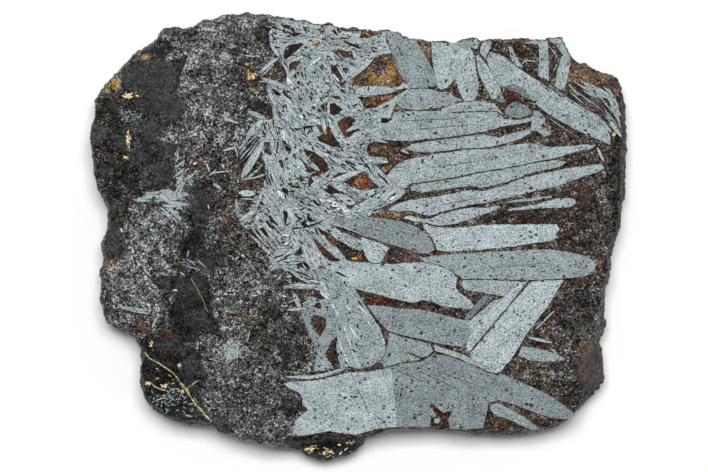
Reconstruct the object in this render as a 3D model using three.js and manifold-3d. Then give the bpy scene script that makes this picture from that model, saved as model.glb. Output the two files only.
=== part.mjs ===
// A sawn slab of ore, one natural piece: blades of grey hematite in a dark magnetite matrix. Its
// front is ground flat and polished, its back is sawn flat, and every edge is a natural break. It
// lies on its back with the polished face up.
import * as THREE from 'three';
import Module from 'manifold-3d';

// Driving dimensions, in millimetres.
const FACE_HEIGHT = 15.5;
const WAIST_HEIGHT = 7.5;
const BACK_INSET = 1.5;
const WALL_PITS = 1.4;
// The outline below is read round the tips of the break, so the walls start this far outside it.
const TIP_ALLOWANCE = 0.35;
const LUMP_SIZE = 5;
const GRAIN_SIZE = 1.9;
const LUMP_SHARE = 0.45;
const BED_FLATNESS = 1.8;
const HOLLOW_TAPER = 0.25;
const SLENDER_TAPER = 0.15;
const CUT_CLEARANCE = 0.6;
const FLOOR_UNEVENNESS = 0.7;
const CRACK_END_SHARE = 0.6;

// Places on the slab are steps of a quarter of a millimetre, right and down from a sheet's corner.
const STEP = 0.25;
const SHEET_MIDDLE = { right: 358.5, down: 236 };

// The outline from above, clockwise from the left. The third value is how far inside the outline
// the polished face ends, so it is large where the edge breaks away in a ledge or a round shoulder.
const OUTLINE = [
  [90, 136, 3], [91, 128, 3], [94, 118, 3], [95, 110, 3], [94, 101, 3], [98, 95, 4], [101, 88, 5],
  [107, 82, 5], [113, 76.5, 4], [119, 69.5, 3], [127, 62, 2.5], [133, 55, 2.5], [141, 50, 2.5],
  [147, 46.4, 2.5], [153, 42, 2.5], [157, 38, 2.5], [160, 32, 3], [166, 28, 4], [175, 27.6, 4],
  [183, 28, 4], [191, 27, 4], [198, 24, 4], [203, 20, 4], [212, 20, 4], [219, 17, 4], [228, 15, 4],
  [238, 14.5, 4], [247, 13, 5], [258, 15, 5], [266, 14.5, 4], [275, 17, 2.5], [287, 18, 2],
  [296, 20, 2], [308, 21, 2], [315, 24, 2], [322, 23.5, 2], [328, 23, 2], [334, 26.5, 2],
  [341, 28, 2], [347, 30, 2], [354, 28.5, 2], [360, 29.5, 2], [368, 30, 2], [377, 31, 2],
  [385, 30, 2], [393, 31, 2], [400, 33, 2], [403, 37, 2], [410, 39, 2], [417, 40.3, 2], [424, 41, 2],
  [431, 41, 2], [438, 42, 2], [447, 43, 2], [456, 43, 2], [461, 41, 2], [467, 40, 2], [476, 38, 2],
  [482, 43, 2], [486, 41, 2], [491, 39.5, 2], [497, 39, 3], [503, 40, 3], [510, 40, 3],
  [517, 39, 3], [525, 39, 3], [533, 40, 3], [541, 40, 2], [548, 38.5, 2], [556, 37, 2],
  [561, 38, 2], [564.4, 43, 2], [567, 48, 2], [569, 54, 3], [573, 61, 7], [579, 64, 11],
  [587, 65, 14], [593, 68, 16], [599, 72, 18], [606, 74, 18], [612, 74, 16], [617, 79, 13],
  [620, 84, 9], [622, 91, 7], [625, 99, 7], [626, 108, 8], [626.5, 118, 8], [625, 125, 7],
  [626.5, 134, 7], [627, 143, 7], [626.3, 154, 7], [626, 165, 7], [625, 175, 7], [625.5, 186, 7],
  [624, 196, 6], [622, 205, 6], [621.2, 214, 5], [620, 223, 5], [618, 232, 5], [615, 242, 6],
  [613, 250, 6], [611, 257, 6], [611, 266, 6], [610, 274, 5], [608, 282, 5], [605, 291, 5],
  [604, 301, 5], [604, 311, 6], [603, 317, 7], [606, 322, 9], [604, 329, 11], [601, 336, 14],
  [600, 344, 16], [602, 352, 18], [603, 359, 19], [603, 366, 20], [605, 373, 21], [602, 381, 19],
  [598, 388, 16], [592, 394, 12], [586, 401.5, 8], [580, 408, 5], [574, 414, 3], [567, 420, 3],
  [558, 425, 4], [548, 429, 5], [537, 431, 5], [525, 433.5, 7], [512, 435, 8], [500, 435, 8],
  [488, 434, 6], [478, 433.3, 4], [468, 431.8, 3], [458, 431, 2.5], [447, 429, 2.5], [437, 429, 2],
  [426, 428, 2], [414, 428.5, 2], [402, 428, 2], [391, 429, 2], [380, 432, 3], [371, 435, 4],
  [365, 439, 7], [360, 445, 12], [354, 451, 17], [346, 455, 20], [337, 458, 23], [327, 459, 24],
  [318, 459, 23], [311, 457, 20], [305, 454, 16], [299, 450, 11], [292, 448, 8], [284, 447, 6],
  [276, 447, 4], [266, 445, 3], [255, 442, 3], [242, 439, 3], [231, 436, 3], [222, 431.4, 3],
  [213, 426, 3], [201, 424, 4], [189, 423, 4], [177, 420.5, 4], [167, 417, 4], [158, 411.5, 4],
  [149, 405, 4], [144, 397.5, 4], [142, 388, 4], [140.5, 378, 3], [140.5, 369, 3], [141.2, 360, 3],
  [141.5, 351, 3], [138.5, 344, 3], [135, 337.5, 4], [129, 333, 4], [122, 330.4, 5], [115, 327, 5],
  [108.5, 323, 5], [105, 318, 4], [103, 310, 3], [101, 301, 3], [100.5, 293, 3], [101.5, 284, 3],
  [100.5, 275, 3], [101.5, 269, 3], [103.5, 263, 4], [103.5, 257, 4], [102, 249, 3], [102, 243, 3],
  [104, 235, 4], [107.5, 228, 4], [108.5, 219, 4], [107.5, 208, 4], [104, 200, 4], [99.5, 192, 3],
  [96.5, 185, 3], [94.5, 174, 3], [93.5, 164, 3], [92.5, 153, 3], [91, 144, 3],
];

// Broken ledges that lie below the polished face: middle, reach in steps, and drop in millimetres.
const LEDGES = [
  { right: 328, down: 450, reach: 46, drop: 3.4 },
  { right: 604, down: 84, reach: 34, drop: 2.2 },
  { right: 104, down: 92, reach: 14, drop: 1.2 },
];

// Hollows between the blades, where the soft matrix has worn or weathered below the face. Each has
// its depth in millimetres and its outline on the sheet.
const HOLLOWS = [
  [0.9, [283, 59], [284, 52], [286, 47], [291, 44], [299, 43.5], [305, 44], [299, 48.5], [293, 55], [287, 60]],
  [0.6, [289, 70], [289, 64], [297, 60], [296, 65], [293, 70]],
  [0.7, [262, 74], [268, 67], [274, 63], [280, 61], [284, 68], [287, 75], [286, 83], [277, 81], [268, 78]],
  [0.5, [272, 90], [278, 91], [281, 95], [277, 96], [274, 94]],
  [0.8, [330, 65], [337, 65], [340, 71], [344, 78], [340, 81], [336, 77], [332, 71]],
  [0.6, [342, 67], [350, 69], [346, 74], [343, 71]],
  [0.8, [332, 51], [352, 51], [346, 57], [343, 61], [338, 56]],
  [0.6, [339, 84], [345, 81], [345, 88], [341, 88]],
  [0.7, [321, 105], [328, 102], [328, 113], [323, 111]],
  [0.7, [331, 104], [336, 106], [343, 110], [333, 116]],
  [0.6, [330, 96], [339, 96], [341, 100], [335, 98.5]],
  [1.3, [352, 86], [352, 78], [357, 72], [362, 67], [367, 62], [372, 57], [380, 55], [391, 53], [394, 60],
    [398, 69], [403, 78], [408, 85], [403, 83], [399, 87], [390, 88], [377, 86], [366, 87]],
  [2.2, [370, 80], [371, 70], [376, 63], [383, 60], [388, 66], [391, 74], [388, 82], [379, 84]],
  [1.1, [354, 97], [365, 96], [375, 96], [385, 93], [395, 90.5], [403, 88.5], [409, 88.5], [404, 92],
    [396, 96], [389, 101], [382, 104], [375, 108], [366, 109], [360, 105]],
  [0.8, [337, 122], [345, 117], [354, 118], [356, 121], [353, 127], [361, 130], [352, 134], [346, 137],
    [341, 131]],
  [0.9, [315, 138], [329, 137], [334, 134.5], [338, 137], [341, 147], [333, 147], [322, 143]],
  [0.6, [318, 126], [324, 125], [325, 133], [320, 131]],
  [0.7, [306, 151.5], [314, 153], [320, 157], [324, 162], [331, 169], [327, 174], [321, 173], [322, 167],
    [317, 160], [311, 155]],
  [0.6, [299, 160], [304, 160], [308, 167], [313, 171], [317, 173], [312, 175], [307, 171], [303, 165]],
  [0.8, [331, 178], [338, 173], [352, 172], [345, 176], [338, 178.5]],
  [1.2, [343, 182], [352, 177], [361, 172], [367, 171], [370, 178], [376, 184], [380, 188], [370, 190],
    [362, 191], [353, 187]],
  [0.8, [322, 189], [330, 187], [335, 189], [341, 192], [347, 195], [341, 195], [332, 193.5], [327, 191]],
  [0.6, [342, 205], [351, 205.5], [354, 207], [350, 210], [346, 208]],
  [1.4, [366, 151], [368, 144], [374, 141], [384, 142.5], [400, 143.5], [409, 142], [405, 147],
    [400, 151], [408, 153.5], [425, 153.5], [436, 153], [426, 156.5], [414, 158], [407, 160],
    [400, 163], [394, 167], [390, 172], [386, 176], [381, 170], [376, 166], [381, 164], [388, 161],
    [385, 157.5], [375, 157], [369, 156]],
  [0.9, [368, 213], [374, 209.5], [381, 208], [386, 205], [393, 202], [400, 198], [405, 193],
    [413, 192], [424, 192.5], [433, 192], [444, 189.5], [454, 188], [465, 187.5], [470, 187],
    [460, 191], [450, 194], [438, 196], [425, 198], [410, 200], [397, 203.5], [388, 208.5]],
  [0.8, [390, 212], [400, 212.5], [414, 212.5], [427, 217], [414, 215.5], [402, 216], [396, 218],
    [386, 217], [378, 215.5]],
  [0.7, [440, 138.5], [455, 137], [471, 134.5], [483, 131.5], [496, 129], [515, 126], [531, 122],
    [532, 125], [522, 129], [508, 133], [496, 137], [486, 134], [472, 136], [456, 138.5]],
  [0.6, [446, 151.5], [460, 149.5], [476, 148.5], [462, 150.5], [450, 153]],
  [1.1, [482, 188.5], [494, 184.5], [506, 181], [518, 176.5], [532, 172], [546, 169], [561, 165],
    [567, 162.5], [560, 159.5], [572, 153.5], [590, 149.5], [597, 147], [601, 154], [602, 162],
    [590, 164], [576, 166], [562, 169.5], [548, 171.5], [535, 174.5], [520, 179.5], [508, 184],
    [497, 188], [486, 190.5]],
  [1.2, [359, 291], [370, 294], [385, 297.5], [398, 301.5], [414, 304], [423, 301], [432, 303],
    [444, 308], [458, 309], [469, 311], [464, 318], [455, 317.5], [440, 313.5], [425, 310],
    [410, 308], [395, 307], [380, 304.5], [367, 304], [362, 298]],
  [0.6, [342, 41.5], [350, 42], [358, 45], [359, 47], [350, 45.5], [343.5, 43.5]],
  [0.8, [362, 26], [383, 26], [382, 35], [373, 36], [366, 39], [360, 38]],
  [0.7, [312, 41.5], [317, 40], [320, 43], [317, 47], [312, 45]],
  [0.6, [319, 31], [325, 29.5], [326, 34], [321, 35]],
  [0.6, [264, 142], [270, 142], [272, 150], [271, 156], [264, 152]],
  [0.6, [283, 141], [289, 145], [292, 150], [285, 149], [281, 146]],
  [0.7, [250, 163], [259, 156], [266, 164], [262, 174], [250, 173]],
  [0.6, [243, 183], [258, 181], [262, 184], [258, 190], [243, 190]],
  [0.5, [281, 190], [287, 188], [289, 193], [284, 194]],
  [0.5, [313, 201], [318, 200], [321, 206], [317, 205]],
  [0.5, [300, 201], [305, 202], [304, 207], [299, 205]],
  [0.5, [284, 211], [289, 212], [287, 220], [285, 225], [283, 218]],
  [0.5, [307, 218], [315, 218.5], [316, 222], [308, 221.5]],
  [0.5, [299, 231], [303, 230], [303, 236], [300, 236]],
  [0.6, [293, 255], [299, 249], [303, 253], [299, 256.5]],
  [0.6, [295, 262], [302, 261], [304, 267], [299, 268.5]],
  [0.7, [290, 276], [300, 278], [312, 284], [318, 288], [305, 286], [292, 284]],
  [0.8, [291, 289], [302, 288.5], [314, 288.5], [321, 293], [328, 299], [320, 300], [312, 296.5],
    [306, 299], [301, 301], [296, 296]],
  [0.9, [311, 316], [318, 317], [326, 319], [325, 327], [320, 336], [316, 331], [312, 323]],
  [0.8, [331, 345], [336, 341], [339, 350], [340, 360], [338, 367], [332, 367], [330, 358], [328, 350]],
  [0.7, [381, 329], [387, 331], [386, 337], [386, 342], [383, 338]],
  [1.0, [325, 222], [336, 226], [350, 230], [364, 236], [376, 241.5], [382, 244], [366, 240],
    [360, 240], [348, 234.5], [336, 228.5]],
  [1.3, [320, 229], [326, 231.5], [338, 239.5], [350, 246.5], [360, 250.5], [364, 249], [367, 258],
    [369, 263], [352, 261.5], [346, 260], [342, 254], [335, 245.5], [327, 236]],
  [0.8, [315, 243], [318, 242.5], [326, 249], [335, 257], [341, 261], [334, 261.5], [325, 257],
    [319, 250]],
  [1.1, [389, 247], [400, 249], [410, 252], [420, 255], [417, 258], [412, 263], [398, 264], [384, 263],
    [387, 256]],
  [0.9, [437, 251], [450, 253], [468, 252], [486, 250.8], [506, 248.5], [524, 246], [541, 243.5],
    [552, 241.5], [560, 239], [572, 244], [584, 251], [588, 256], [572, 251.5], [550, 248.5],
    [530, 248.5], [505, 250], [480, 252.8], [455, 254.2], [434, 255]],
  [0.9, [455, 281], [460, 279], [463, 287], [470, 292], [484, 295], [489, 295.5], [483, 299], [474, 306],
    [469, 300], [460, 292.5], [457, 287]],
  [0.7, [469, 321], [476, 313], [486, 304], [495, 297.5], [503, 297.5], [492, 302], [480, 312.5]],
  [0.8, [521, 282], [528.5, 282], [521, 293], [511, 304], [500, 317], [489, 330], [479, 343], [470, 354],
    [468, 352], [476, 343], [487, 330], [499, 316], [509, 304], [518, 292]],
  [0.7, [542, 318], [550, 309], [554, 310.5], [544, 320]],
  [0.8, [524, 341], [545, 344], [546, 349], [535, 347.5], [524, 345.5]],
  [0.7, [501, 373], [509, 363], [513, 369], [517, 375], [508, 374]],
  [0.9, [404, 338.5], [416, 338.5], [430, 342.5], [447, 347], [463, 349], [471, 355], [484, 363],
    [496, 371], [482, 363.5], [464, 354.5], [447, 349], [434, 346], [418, 341.5]],
  [0.9, [433, 352], [445, 354], [457, 358], [467, 361.5], [478, 365], [489, 370.5], [497, 373.5],
    [488, 372.5], [470, 364], [450, 356.5]],
  [1.6, [431, 403], [437, 408], [442, 411], [452, 410], [448, 419], [444, 427], [436, 429], [431, 428],
    [430, 421], [434, 416], [431, 410]],
  [1.2, [489, 410], [495, 416], [500, 419], [505, 424], [508, 439], [484, 439], [485, 428], [487, 418]],
  [0.8, [499, 401], [511, 404.5], [526, 411], [540, 416.5], [552, 420], [551, 425], [545, 428],
    [536, 425], [524, 417], [512, 410], [503, 404.5]],
  [0.9, [418, 37], [430, 37], [431.5, 51], [433, 61], [434.5, 69], [430, 63], [426, 55], [422, 47]],
  [0.7, [449, 89], [454, 83.5], [457, 84], [460.5, 93], [463, 100], [458, 97], [452, 96]],
  [0.6, [476, 73], [480, 80.5], [484, 88], [488.5, 94], [492, 100], [487, 100.5], [482, 95], [479, 88],
    [479, 81]],
  [0.8, [470, 208], [478, 204.5], [486, 203.5], [497, 204], [494, 207.5], [484, 208], [475, 208.5]],
  [0.9, [478, 223], [487, 218.5], [497, 213.5], [510, 212], [530, 211.5], [545, 211], [560, 210],
    [560, 221], [545, 222.5], [530, 223], [507, 223.5], [488, 224]],
  [0.8, [542, 126], [547, 122], [558, 126], [572, 133], [585, 138], [594, 141.5], [585, 143], [573, 144],
    [558, 145.5], [547, 145], [535, 142], [545, 138], [552, 135]],
  [0.9, [488, 53], [492, 44], [498, 42], [506, 42], [508, 47], [512, 60], [506, 57], [498, 53.5]],
  [0.8, [502, 92], [508, 93.5], [515, 96.5], [520, 99], [514, 101.5], [506, 102]],
  [0.6, [400, 113.5], [406, 112.8], [409, 116], [402, 116]],
  [0.9, [512, 46], [524, 45.5], [538, 45], [539, 60], [537, 72], [529, 69], [522, 67], [516, 56]],
  [0.8, [550, 45], [554, 48], [559, 55], [557, 66], [556, 74], [554, 84], [550, 81], [549.5, 60]],
  [0.8, [568, 74], [573, 78], [577, 86], [572, 91], [567, 89]],
  [0.6, [244, 78], [247, 72], [254, 70], [258, 74], [256, 81], [249, 83]],
  [0.6, [240, 106], [252, 103], [263, 103], [269, 107], [266, 111], [252, 110]],
  [0.5, [122, 93], [131, 92], [135, 96], [128, 99], [121, 97]],
  [0.5, [125, 132], [131, 131], [133, 140], [130, 146], [126, 141]],
  [0.6, [225, 190], [229, 191], [234, 199], [230, 199]],
  [0.6, [168, 287], [174, 284], [178, 291], [175, 299], [169, 297]],
  [0.6, [138, 321], [147, 324], [152, 331], [144, 333], [137, 328]],
  [0.5, [215, 337], [222, 339], [222, 345], [216, 345]],
  [0.6, [283, 392], [290, 394], [297, 400], [301, 406], [295, 411], [287, 406], [282, 399]],
  [0.6, [284, 340], [288, 338], [289, 352], [287, 364], [283, 360]],
  [0.5, [205, 315], [212, 312], [215, 320], [209, 324]],
  [0.6, [161, 172], [170, 168], [173, 176], [166, 182], [160, 179]],
];

// Cracks across the face: width in steps, depth in millimetres, then the line that each follows.
const CRACKS = [
  [1.6, 0.6, [411, 142.5], [426, 141.5], [440, 139.5], [456, 137.5]],
  [1.3, 0.5, [408, 186], [422, 183], [438, 180.5], [458, 177.5], [480, 172.5], [500, 169], [520, 165.5],
    [541, 161.5], [556, 158]],
  [1.4, 0.5, [427, 217.5], [440, 213], [456, 209.5], [472, 206.5]],
  [1.3, 0.6, [510, 202.5], [526, 201], [542, 199.5]],
  [1.3, 0.5, [517, 67], [531, 74], [542, 79.5], [554, 86], [574, 98.5], [585, 107]],
  [1.3, 0.5, [526, 91], [532, 99], [540, 106.5], [550, 114.5], [562, 122], [576, 130], [592, 137.5]],
  [1.2, 0.5, [470.5, 47], [477, 54], [484, 62], [492, 74], [500, 87]],
  [1.5, 0.5, [333, 272], [341, 275], [350, 279]],
  [1.2, 0.5, [396, 365], [403, 359], [410, 352.5]],
  [1.2, 0.5, [290, 381], [314, 380], [329, 377.5], [340, 373.5], [349, 370.5], [362, 370], [376, 368],
    [388, 366.5], [404, 363], [424, 359]],
  [1.3, 0.5, [292, 229], [308, 226], [323, 221]],
  [1.2, 0.5, [268, 212], [273, 219], [277, 226]],
  [1.3, 0.5, [254, 227], [262, 236], [270, 246]],
  [1.6, 0.6, [141, 55], [148, 58.5], [158, 57], [168, 55]],
  [1.5, 0.6, [174, 92], [178, 80], [181, 69], [186, 58]],
  [1.3, 0.5, [391, 53], [398, 66], [405, 79], [410, 88]],
  [1.2, 0.5, [392, 369], [391, 382], [393, 398], [395, 413], [397, 425]],
];

const place = ([right, down]) => new THREE.Vector2(
  (right - SHEET_MIDDLE.right) * STEP,
  (SHEET_MIDDLE.down - down) * STEP,
);

// A repeatable scatter of values from 0 to 1, one at each whole-numbered point of space. Its turns
// for a step along each axis share no factor, and its reach is so long that neighbours seem unlike.
const SCATTER_TURNS = [127.1, 311.7, 74.7];
const SCATTER_REACH = 43758.5453;
const speck = (...corner) => {
  const turn = corner.reduce((sum, value, axis) => sum + value * SCATTER_TURNS[axis], 0);
  const wave = Math.sin(turn) * SCATTER_REACH;
  return wave - Math.floor(wave);
};

// The same scatter smoothed between its points, for the lumps and pits of a broken surface.
function lumps(x, y, z) {
  const corner = [x, y, z].map(Math.floor);
  const ease = [x, y, z].map((value, axis) => {
    const part = value - corner[axis];
    return part * part * (3 - 2 * part);
  });
  let total = 0;
  for (const i of [0, 1]) {
    for (const j of [0, 1]) {
      for (const k of [0, 1]) {
        const weight = (i ? ease[0] : 1 - ease[0]) * (j ? ease[1] : 1 - ease[1])
          * (k ? ease[2] : 1 - ease[2]);
        total += weight * speck(corner[0] + i, corner[1] + j, corner[2] + k);
      }
    }
  }
  return total;
}

// How rough the break is at a point: broad lumps with a finer grain on them, from 0 to 1.
const roughness = (x, y, z) => LUMP_SHARE * lumps(x / LUMP_SIZE, y / LUMP_SIZE, z / LUMP_SIZE)
  + (1 - LUMP_SHARE) * lumps(x / GRAIN_SIZE, y / GRAIN_SIZE, z / GRAIN_SIZE);

// The direction into a counter-clockwise loop at one of its points, square to its two neighbours.
function inward(loop, index) {
  const before = loop[(index + loop.length - 1) % loop.length];
  const after = loop[(index + 1) % loop.length];
  return new THREE.Vector2(before.y - after.y, after.x - before.x).normalize();
}

const counterClockwise = (loop) => (THREE.ShapeUtils.isClockWise(loop) ? loop.slice().reverse() : loop);

const wasm = await Module();
wasm.setup();

// A closed solid through loops of equally many points, listed from the lowest loop to the highest.
function stack(loops) {
  const count = loops[0].length;
  const points = loops.flat();
  const triangles = [];
  for (let base = 0; base + count < points.length; base += count) {
    for (let i = 0; i < count; i += 1) {
      const next = (i + 1) % count;
      triangles.push(base + i, base + next, base + count + next);
      triangles.push(base + i, base + count + next, base + count + i);
    }
  }
  const cap = (loop) => THREE.ShapeUtils.triangulateShape(
    loop.map((point) => new THREE.Vector2(point.x, point.y)),
    [],
  );
  const last = points.length - count;
  cap(loops[0]).forEach(([a, b, c]) => triangles.push(a, c, b));
  cap(loops.at(-1)).forEach(([a, b, c]) => triangles.push(last + a, last + b, last + c));
  return new wasm.Manifold(new wasm.Mesh({
    numProp: 3,
    vertProperties: new Float32Array(points.flatMap((point) => point.toArray())),
    triVerts: new Uint32Array(triangles),
  }));
}

// How far a ledge sinks the broken edge at a point, in millimetres.
function ledgeDrop(point) {
  const drops = LEDGES.map((ledge) => {
    const away = point.distanceTo(place([ledge.right, ledge.down])) / (ledge.reach * STEP);
    return ledge.drop * THREE.MathUtils.smoothstep(1 - away, 0, 0.5);
  });
  return Math.max(...drops);
}

// Loops of the wall under its waist: shares of the waist's height, the back's inset and the pits.
const LOWER_WALL = [[0, 1, 0.3], [0.2, 0.5, 1], [0.42, 0.25, 1], [0.7, 0.1, 0.8]];
// Loops from the waist up to the rim of the polished face, in degrees round a quarter of an oval.
const UPPER_WALL = [0, 20, 42, 62, 78, 90];

// The body of the slab: a flat sawn back, broken walls that bulge at the waist, and a flat face.
function slabBody() {
  const outline = OUTLINE.map(place);
  const turned = THREE.ShapeUtils.isClockWise(outline);
  const edge = turned ? outline.slice().reverse() : outline;
  const slopes = OUTLINE.map((entry) => entry[2] * STEP);
  if (turned) slopes.reverse();
  const at = (index, inset, height, pits) => {
    const start = edge[index];
    const pit = pits * roughness(start.x, start.y, height * BED_FLATNESS);
    const pitted = inset + pit - TIP_ALLOWANCE;
    const spot = start.clone().addScaledVector(inward(edge, index), pitted);
    return new THREE.Vector3(spot.x, spot.y, height);
  };
  const lower = LOWER_WALL.map(([rise, inset, pits]) => edge.map((point, index) => (
    at(index, BACK_INSET * inset, WAIST_HEIGHT * rise, WALL_PITS * pits)
  )));
  const upper = UPPER_WALL.map((degrees) => edge.map((point, index) => {
    const angle = THREE.MathUtils.degToRad(degrees);
    const middle = Math.sin(2 * angle);
    const inset = slopes[index] * (1 - Math.cos(angle));
    const height = WAIST_HEIGHT + (FACE_HEIGHT - WAIST_HEIGHT) * Math.sin(angle);
    const spot = at(index, inset, height, WALL_PITS * middle);
    const bumps = WALL_PITS * middle * roughness(spot.y, height, spot.x);
    const drop = degrees < 90 ? ledgeDrop(point) * Math.sin(angle) ** 2 : 0;
    spot.z -= drop + bumps;
    return spot;
  }));
  return stack([...lower, ...upper]);
}

// The mean width of a loop: its area over half its length all round.
function meanWidth(loop) {
  const around = loop.reduce((sum, point, i) => sum + point.distanceTo(loop[(i + 1) % loop.length]), 0);
  return THREE.ShapeUtils.area(loop) / (around / 2);
}

// The tool that sinks one hollow: it narrows downwards, less so if slender, to an uneven floor.
function hollowCut([depth, ...outline]) {
  const edge = counterClockwise(outline.map(place));
  const taper = Math.min(HOLLOW_TAPER, SLENDER_TAPER * meanWidth(edge) / depth);
  const level = (height, uneven) => edge.map((point, index) => {
    const reach = taper * (FACE_HEIGHT - height);
    const spot = point.clone().addScaledVector(inward(edge, index), reach);
    const bump = uneven * (roughness(spot.x * 2, spot.y * 2, height) - 0.5);
    return new THREE.Vector3(spot.x, spot.y, height + bump);
  });
  const floor = level(FACE_HEIGHT - depth, FLOOR_UNEVENNESS * depth);
  return stack([floor, level(FACE_HEIGHT + CUT_CLEARANCE, 0)]);
}

// The tool that cuts one crack: a narrow trench that follows a line and closes at both ends.
function crackCut([width, depth, ...line]) {
  const spine = line.map(place);
  const sides = [[], []];
  spine.forEach((point, index) => {
    const ahead = spine[Math.min(index + 1, spine.length - 1)];
    const behind = spine[Math.max(index - 1, 0)];
    const along = ahead.clone().sub(behind).normalize();
    const end = index === 0 || index === spine.length - 1;
    const half = 0.5 * (end ? CRACK_END_SHARE : 1) * width * STEP;
    const across = new THREE.Vector2(-along.y, along.x).multiplyScalar(half);
    sides[0].push(point.clone().add(across));
    sides[1].unshift(point.clone().sub(across));
  });
  const edge = counterClockwise(sides.flat());
  const level = (height) => edge.map((point) => new THREE.Vector3(point.x, point.y, height));
  return stack([level(FACE_HEIGHT - depth), level(FACE_HEIGHT + CUT_CLEARANCE)]);
}

// The solid as a three.js mesh, with flat facets.
function meshOf(solid, name, material) {
  const { vertProperties, triVerts } = solid.getMesh();
  const geometry = new THREE.BufferGeometry();
  geometry.setAttribute('position', new THREE.BufferAttribute(vertProperties, 3));
  geometry.setIndex(new THREE.BufferAttribute(triVerts, 1));
  geometry.computeVertexNormals();
  const mesh = new THREE.Mesh(geometry, material);
  mesh.name = name;
  return mesh;
}

const cuts = [...HOLLOWS.map(hollowCut), ...CRACKS.map(crackCut)];
const slab = cuts.reduce((solid, cut) => solid.subtract(cut), slabBody());
const ore = new THREE.MeshStandardMaterial({ color: 0x6f7579, roughness: 0.5, metalness: 0.6 });

const specimen = new THREE.Group();
specimen.add(meshOf(slab, 'slab', ore));
export default specimen;
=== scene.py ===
"""A sawn and polished slab of ore: grey hematite blades in a dark magnetite matrix."""
import functools
import math
import random

import bmesh
import bpy
import numpy as np
from mathutils import Matrix, Vector, noise
from mathutils.bvhtree import BVHTree


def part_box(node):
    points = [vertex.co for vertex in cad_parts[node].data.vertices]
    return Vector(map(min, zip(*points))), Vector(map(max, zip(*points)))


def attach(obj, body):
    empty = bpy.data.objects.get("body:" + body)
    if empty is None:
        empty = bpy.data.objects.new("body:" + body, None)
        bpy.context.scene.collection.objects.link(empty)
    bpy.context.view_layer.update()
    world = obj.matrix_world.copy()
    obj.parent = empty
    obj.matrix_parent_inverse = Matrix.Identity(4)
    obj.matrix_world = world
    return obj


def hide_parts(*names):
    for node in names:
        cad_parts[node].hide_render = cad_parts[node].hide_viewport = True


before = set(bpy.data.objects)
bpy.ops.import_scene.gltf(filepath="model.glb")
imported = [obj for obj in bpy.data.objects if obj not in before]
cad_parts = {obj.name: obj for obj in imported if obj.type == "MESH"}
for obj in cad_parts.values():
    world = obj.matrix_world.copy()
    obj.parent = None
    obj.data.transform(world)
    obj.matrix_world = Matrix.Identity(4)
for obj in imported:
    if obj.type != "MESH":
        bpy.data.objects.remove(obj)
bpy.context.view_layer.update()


# The studio: a plain white table, soft light from above, and a camera that looks straight down.
# Places on the slab are steps of a quarter millimetre, right and down from a sheet's corner.
STEP = 0.00025
SHEET_MIDDLE = (358.5, 236)
SHEET_SIZE = (708, 472)
MM = 0.001
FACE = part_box("slab")[1].z


def on_face(right, down, above=0.0):
    """A point over the polished face: steps right and down the sheet, and metres above the face."""
    return Vector(((right - SHEET_MIDDLE[0]) * STEP, (SHEET_MIDDLE[1] - down) * STEP, FACE + above))


def linear(*srgb):
    """A colour given as 0 to 255 display values, as the linear colour that a shader takes."""
    parts = [value / 255 for value in srgb]
    return [p / 12.92 if p < 0.04045 else ((p + 0.055) / 1.055) ** 2.4 for p in parts] + [1.0]


def node(tree, kind, inputs=None, **settings):
    """A shader node; an input that is given another node's output is linked to it."""
    made = tree.nodes.new(kind)
    for name, value in settings.items():
        setattr(made, name, value)
    for name, value in (inputs or {}).items():
        if isinstance(value, bpy.types.NodeSocket):
            tree.links.new(value, made.inputs[name])
        else:
            made.inputs[name].default_value = value
    return made


def blend(tree, share, first, second, way="MIX"):
    """The output of a colour mix, from first at share 0 to second at share 1."""
    made = node(tree, "ShaderNodeMix", {0: share, 6: first, 7: second}, data_type="RGBA", blend_type=way)
    return made.outputs[2]


def sums(tree, operation, *values):
    """The output of a maths node on one, two or three values."""
    made = node(tree, "ShaderNodeMath", dict(enumerate(values)), operation=operation)
    return made.outputs[0]


def ramp(tree, value, *stops):
    """A colour ramp's output; each stop is a position and a display colour."""
    made = node(tree, "ShaderNodeValToRGB", {0: value})
    elements = made.color_ramp.elements
    for place, (position, colour) in enumerate(stops):
        stop = elements[place] if place < 2 else elements.new(position)
        stop.position = position
        stop.color = linear(*colour)
    return made.outputs[0]


def new_material(name):
    """An empty node material with its output and its Principled shader."""
    made = bpy.data.materials.new(name)
    made.use_nodes = True
    made.node_tree.nodes.clear()
    shader = made.node_tree.nodes.new("ShaderNodeBsdfPrincipled")
    output = made.node_tree.nodes.new("ShaderNodeOutputMaterial")
    made.node_tree.links.new(shader.outputs[0], output.inputs[0])
    return made, made.node_tree, shader


def finished(mesh, name, *materials):
    """A bmesh as an object in the scene, with its materials."""
    data = bpy.data.meshes.new(name)
    mesh.to_mesh(data)
    mesh.free()
    piece = bpy.data.objects.new(name, data)
    bpy.context.scene.collection.objects.link(piece)
    for material in materials:
        data.materials.append(material)
    return piece


TABLE_SIZE = 1.6
table_mesh = bmesh.new()
bmesh.ops.create_grid(table_mesh, x_segments=1, y_segments=1, size=TABLE_SIZE / 2)
table_paint, table_tree, table_shader = new_material("white_table")
table_shader.inputs["Base Color"].default_value = (0.97, 0.97, 0.97, 1)
table_shader.inputs["Roughness"].default_value = 0.9
table_shader.inputs["Specular IOR Level"].default_value = 0.0
table = finished(table_mesh, "table", table_paint)

CAMERA_HEIGHT = 1.2292
CAMERA_AIM = (354, 236)
camera = bpy.data.objects.new("camera", bpy.data.cameras.new("camera"))
camera.data.sensor_width = 36
camera.data.lens = 250
camera.location = on_face(*CAMERA_AIM, CAMERA_HEIGHT)
bpy.context.scene.collection.objects.link(camera)
bpy.context.scene.camera = camera


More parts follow.
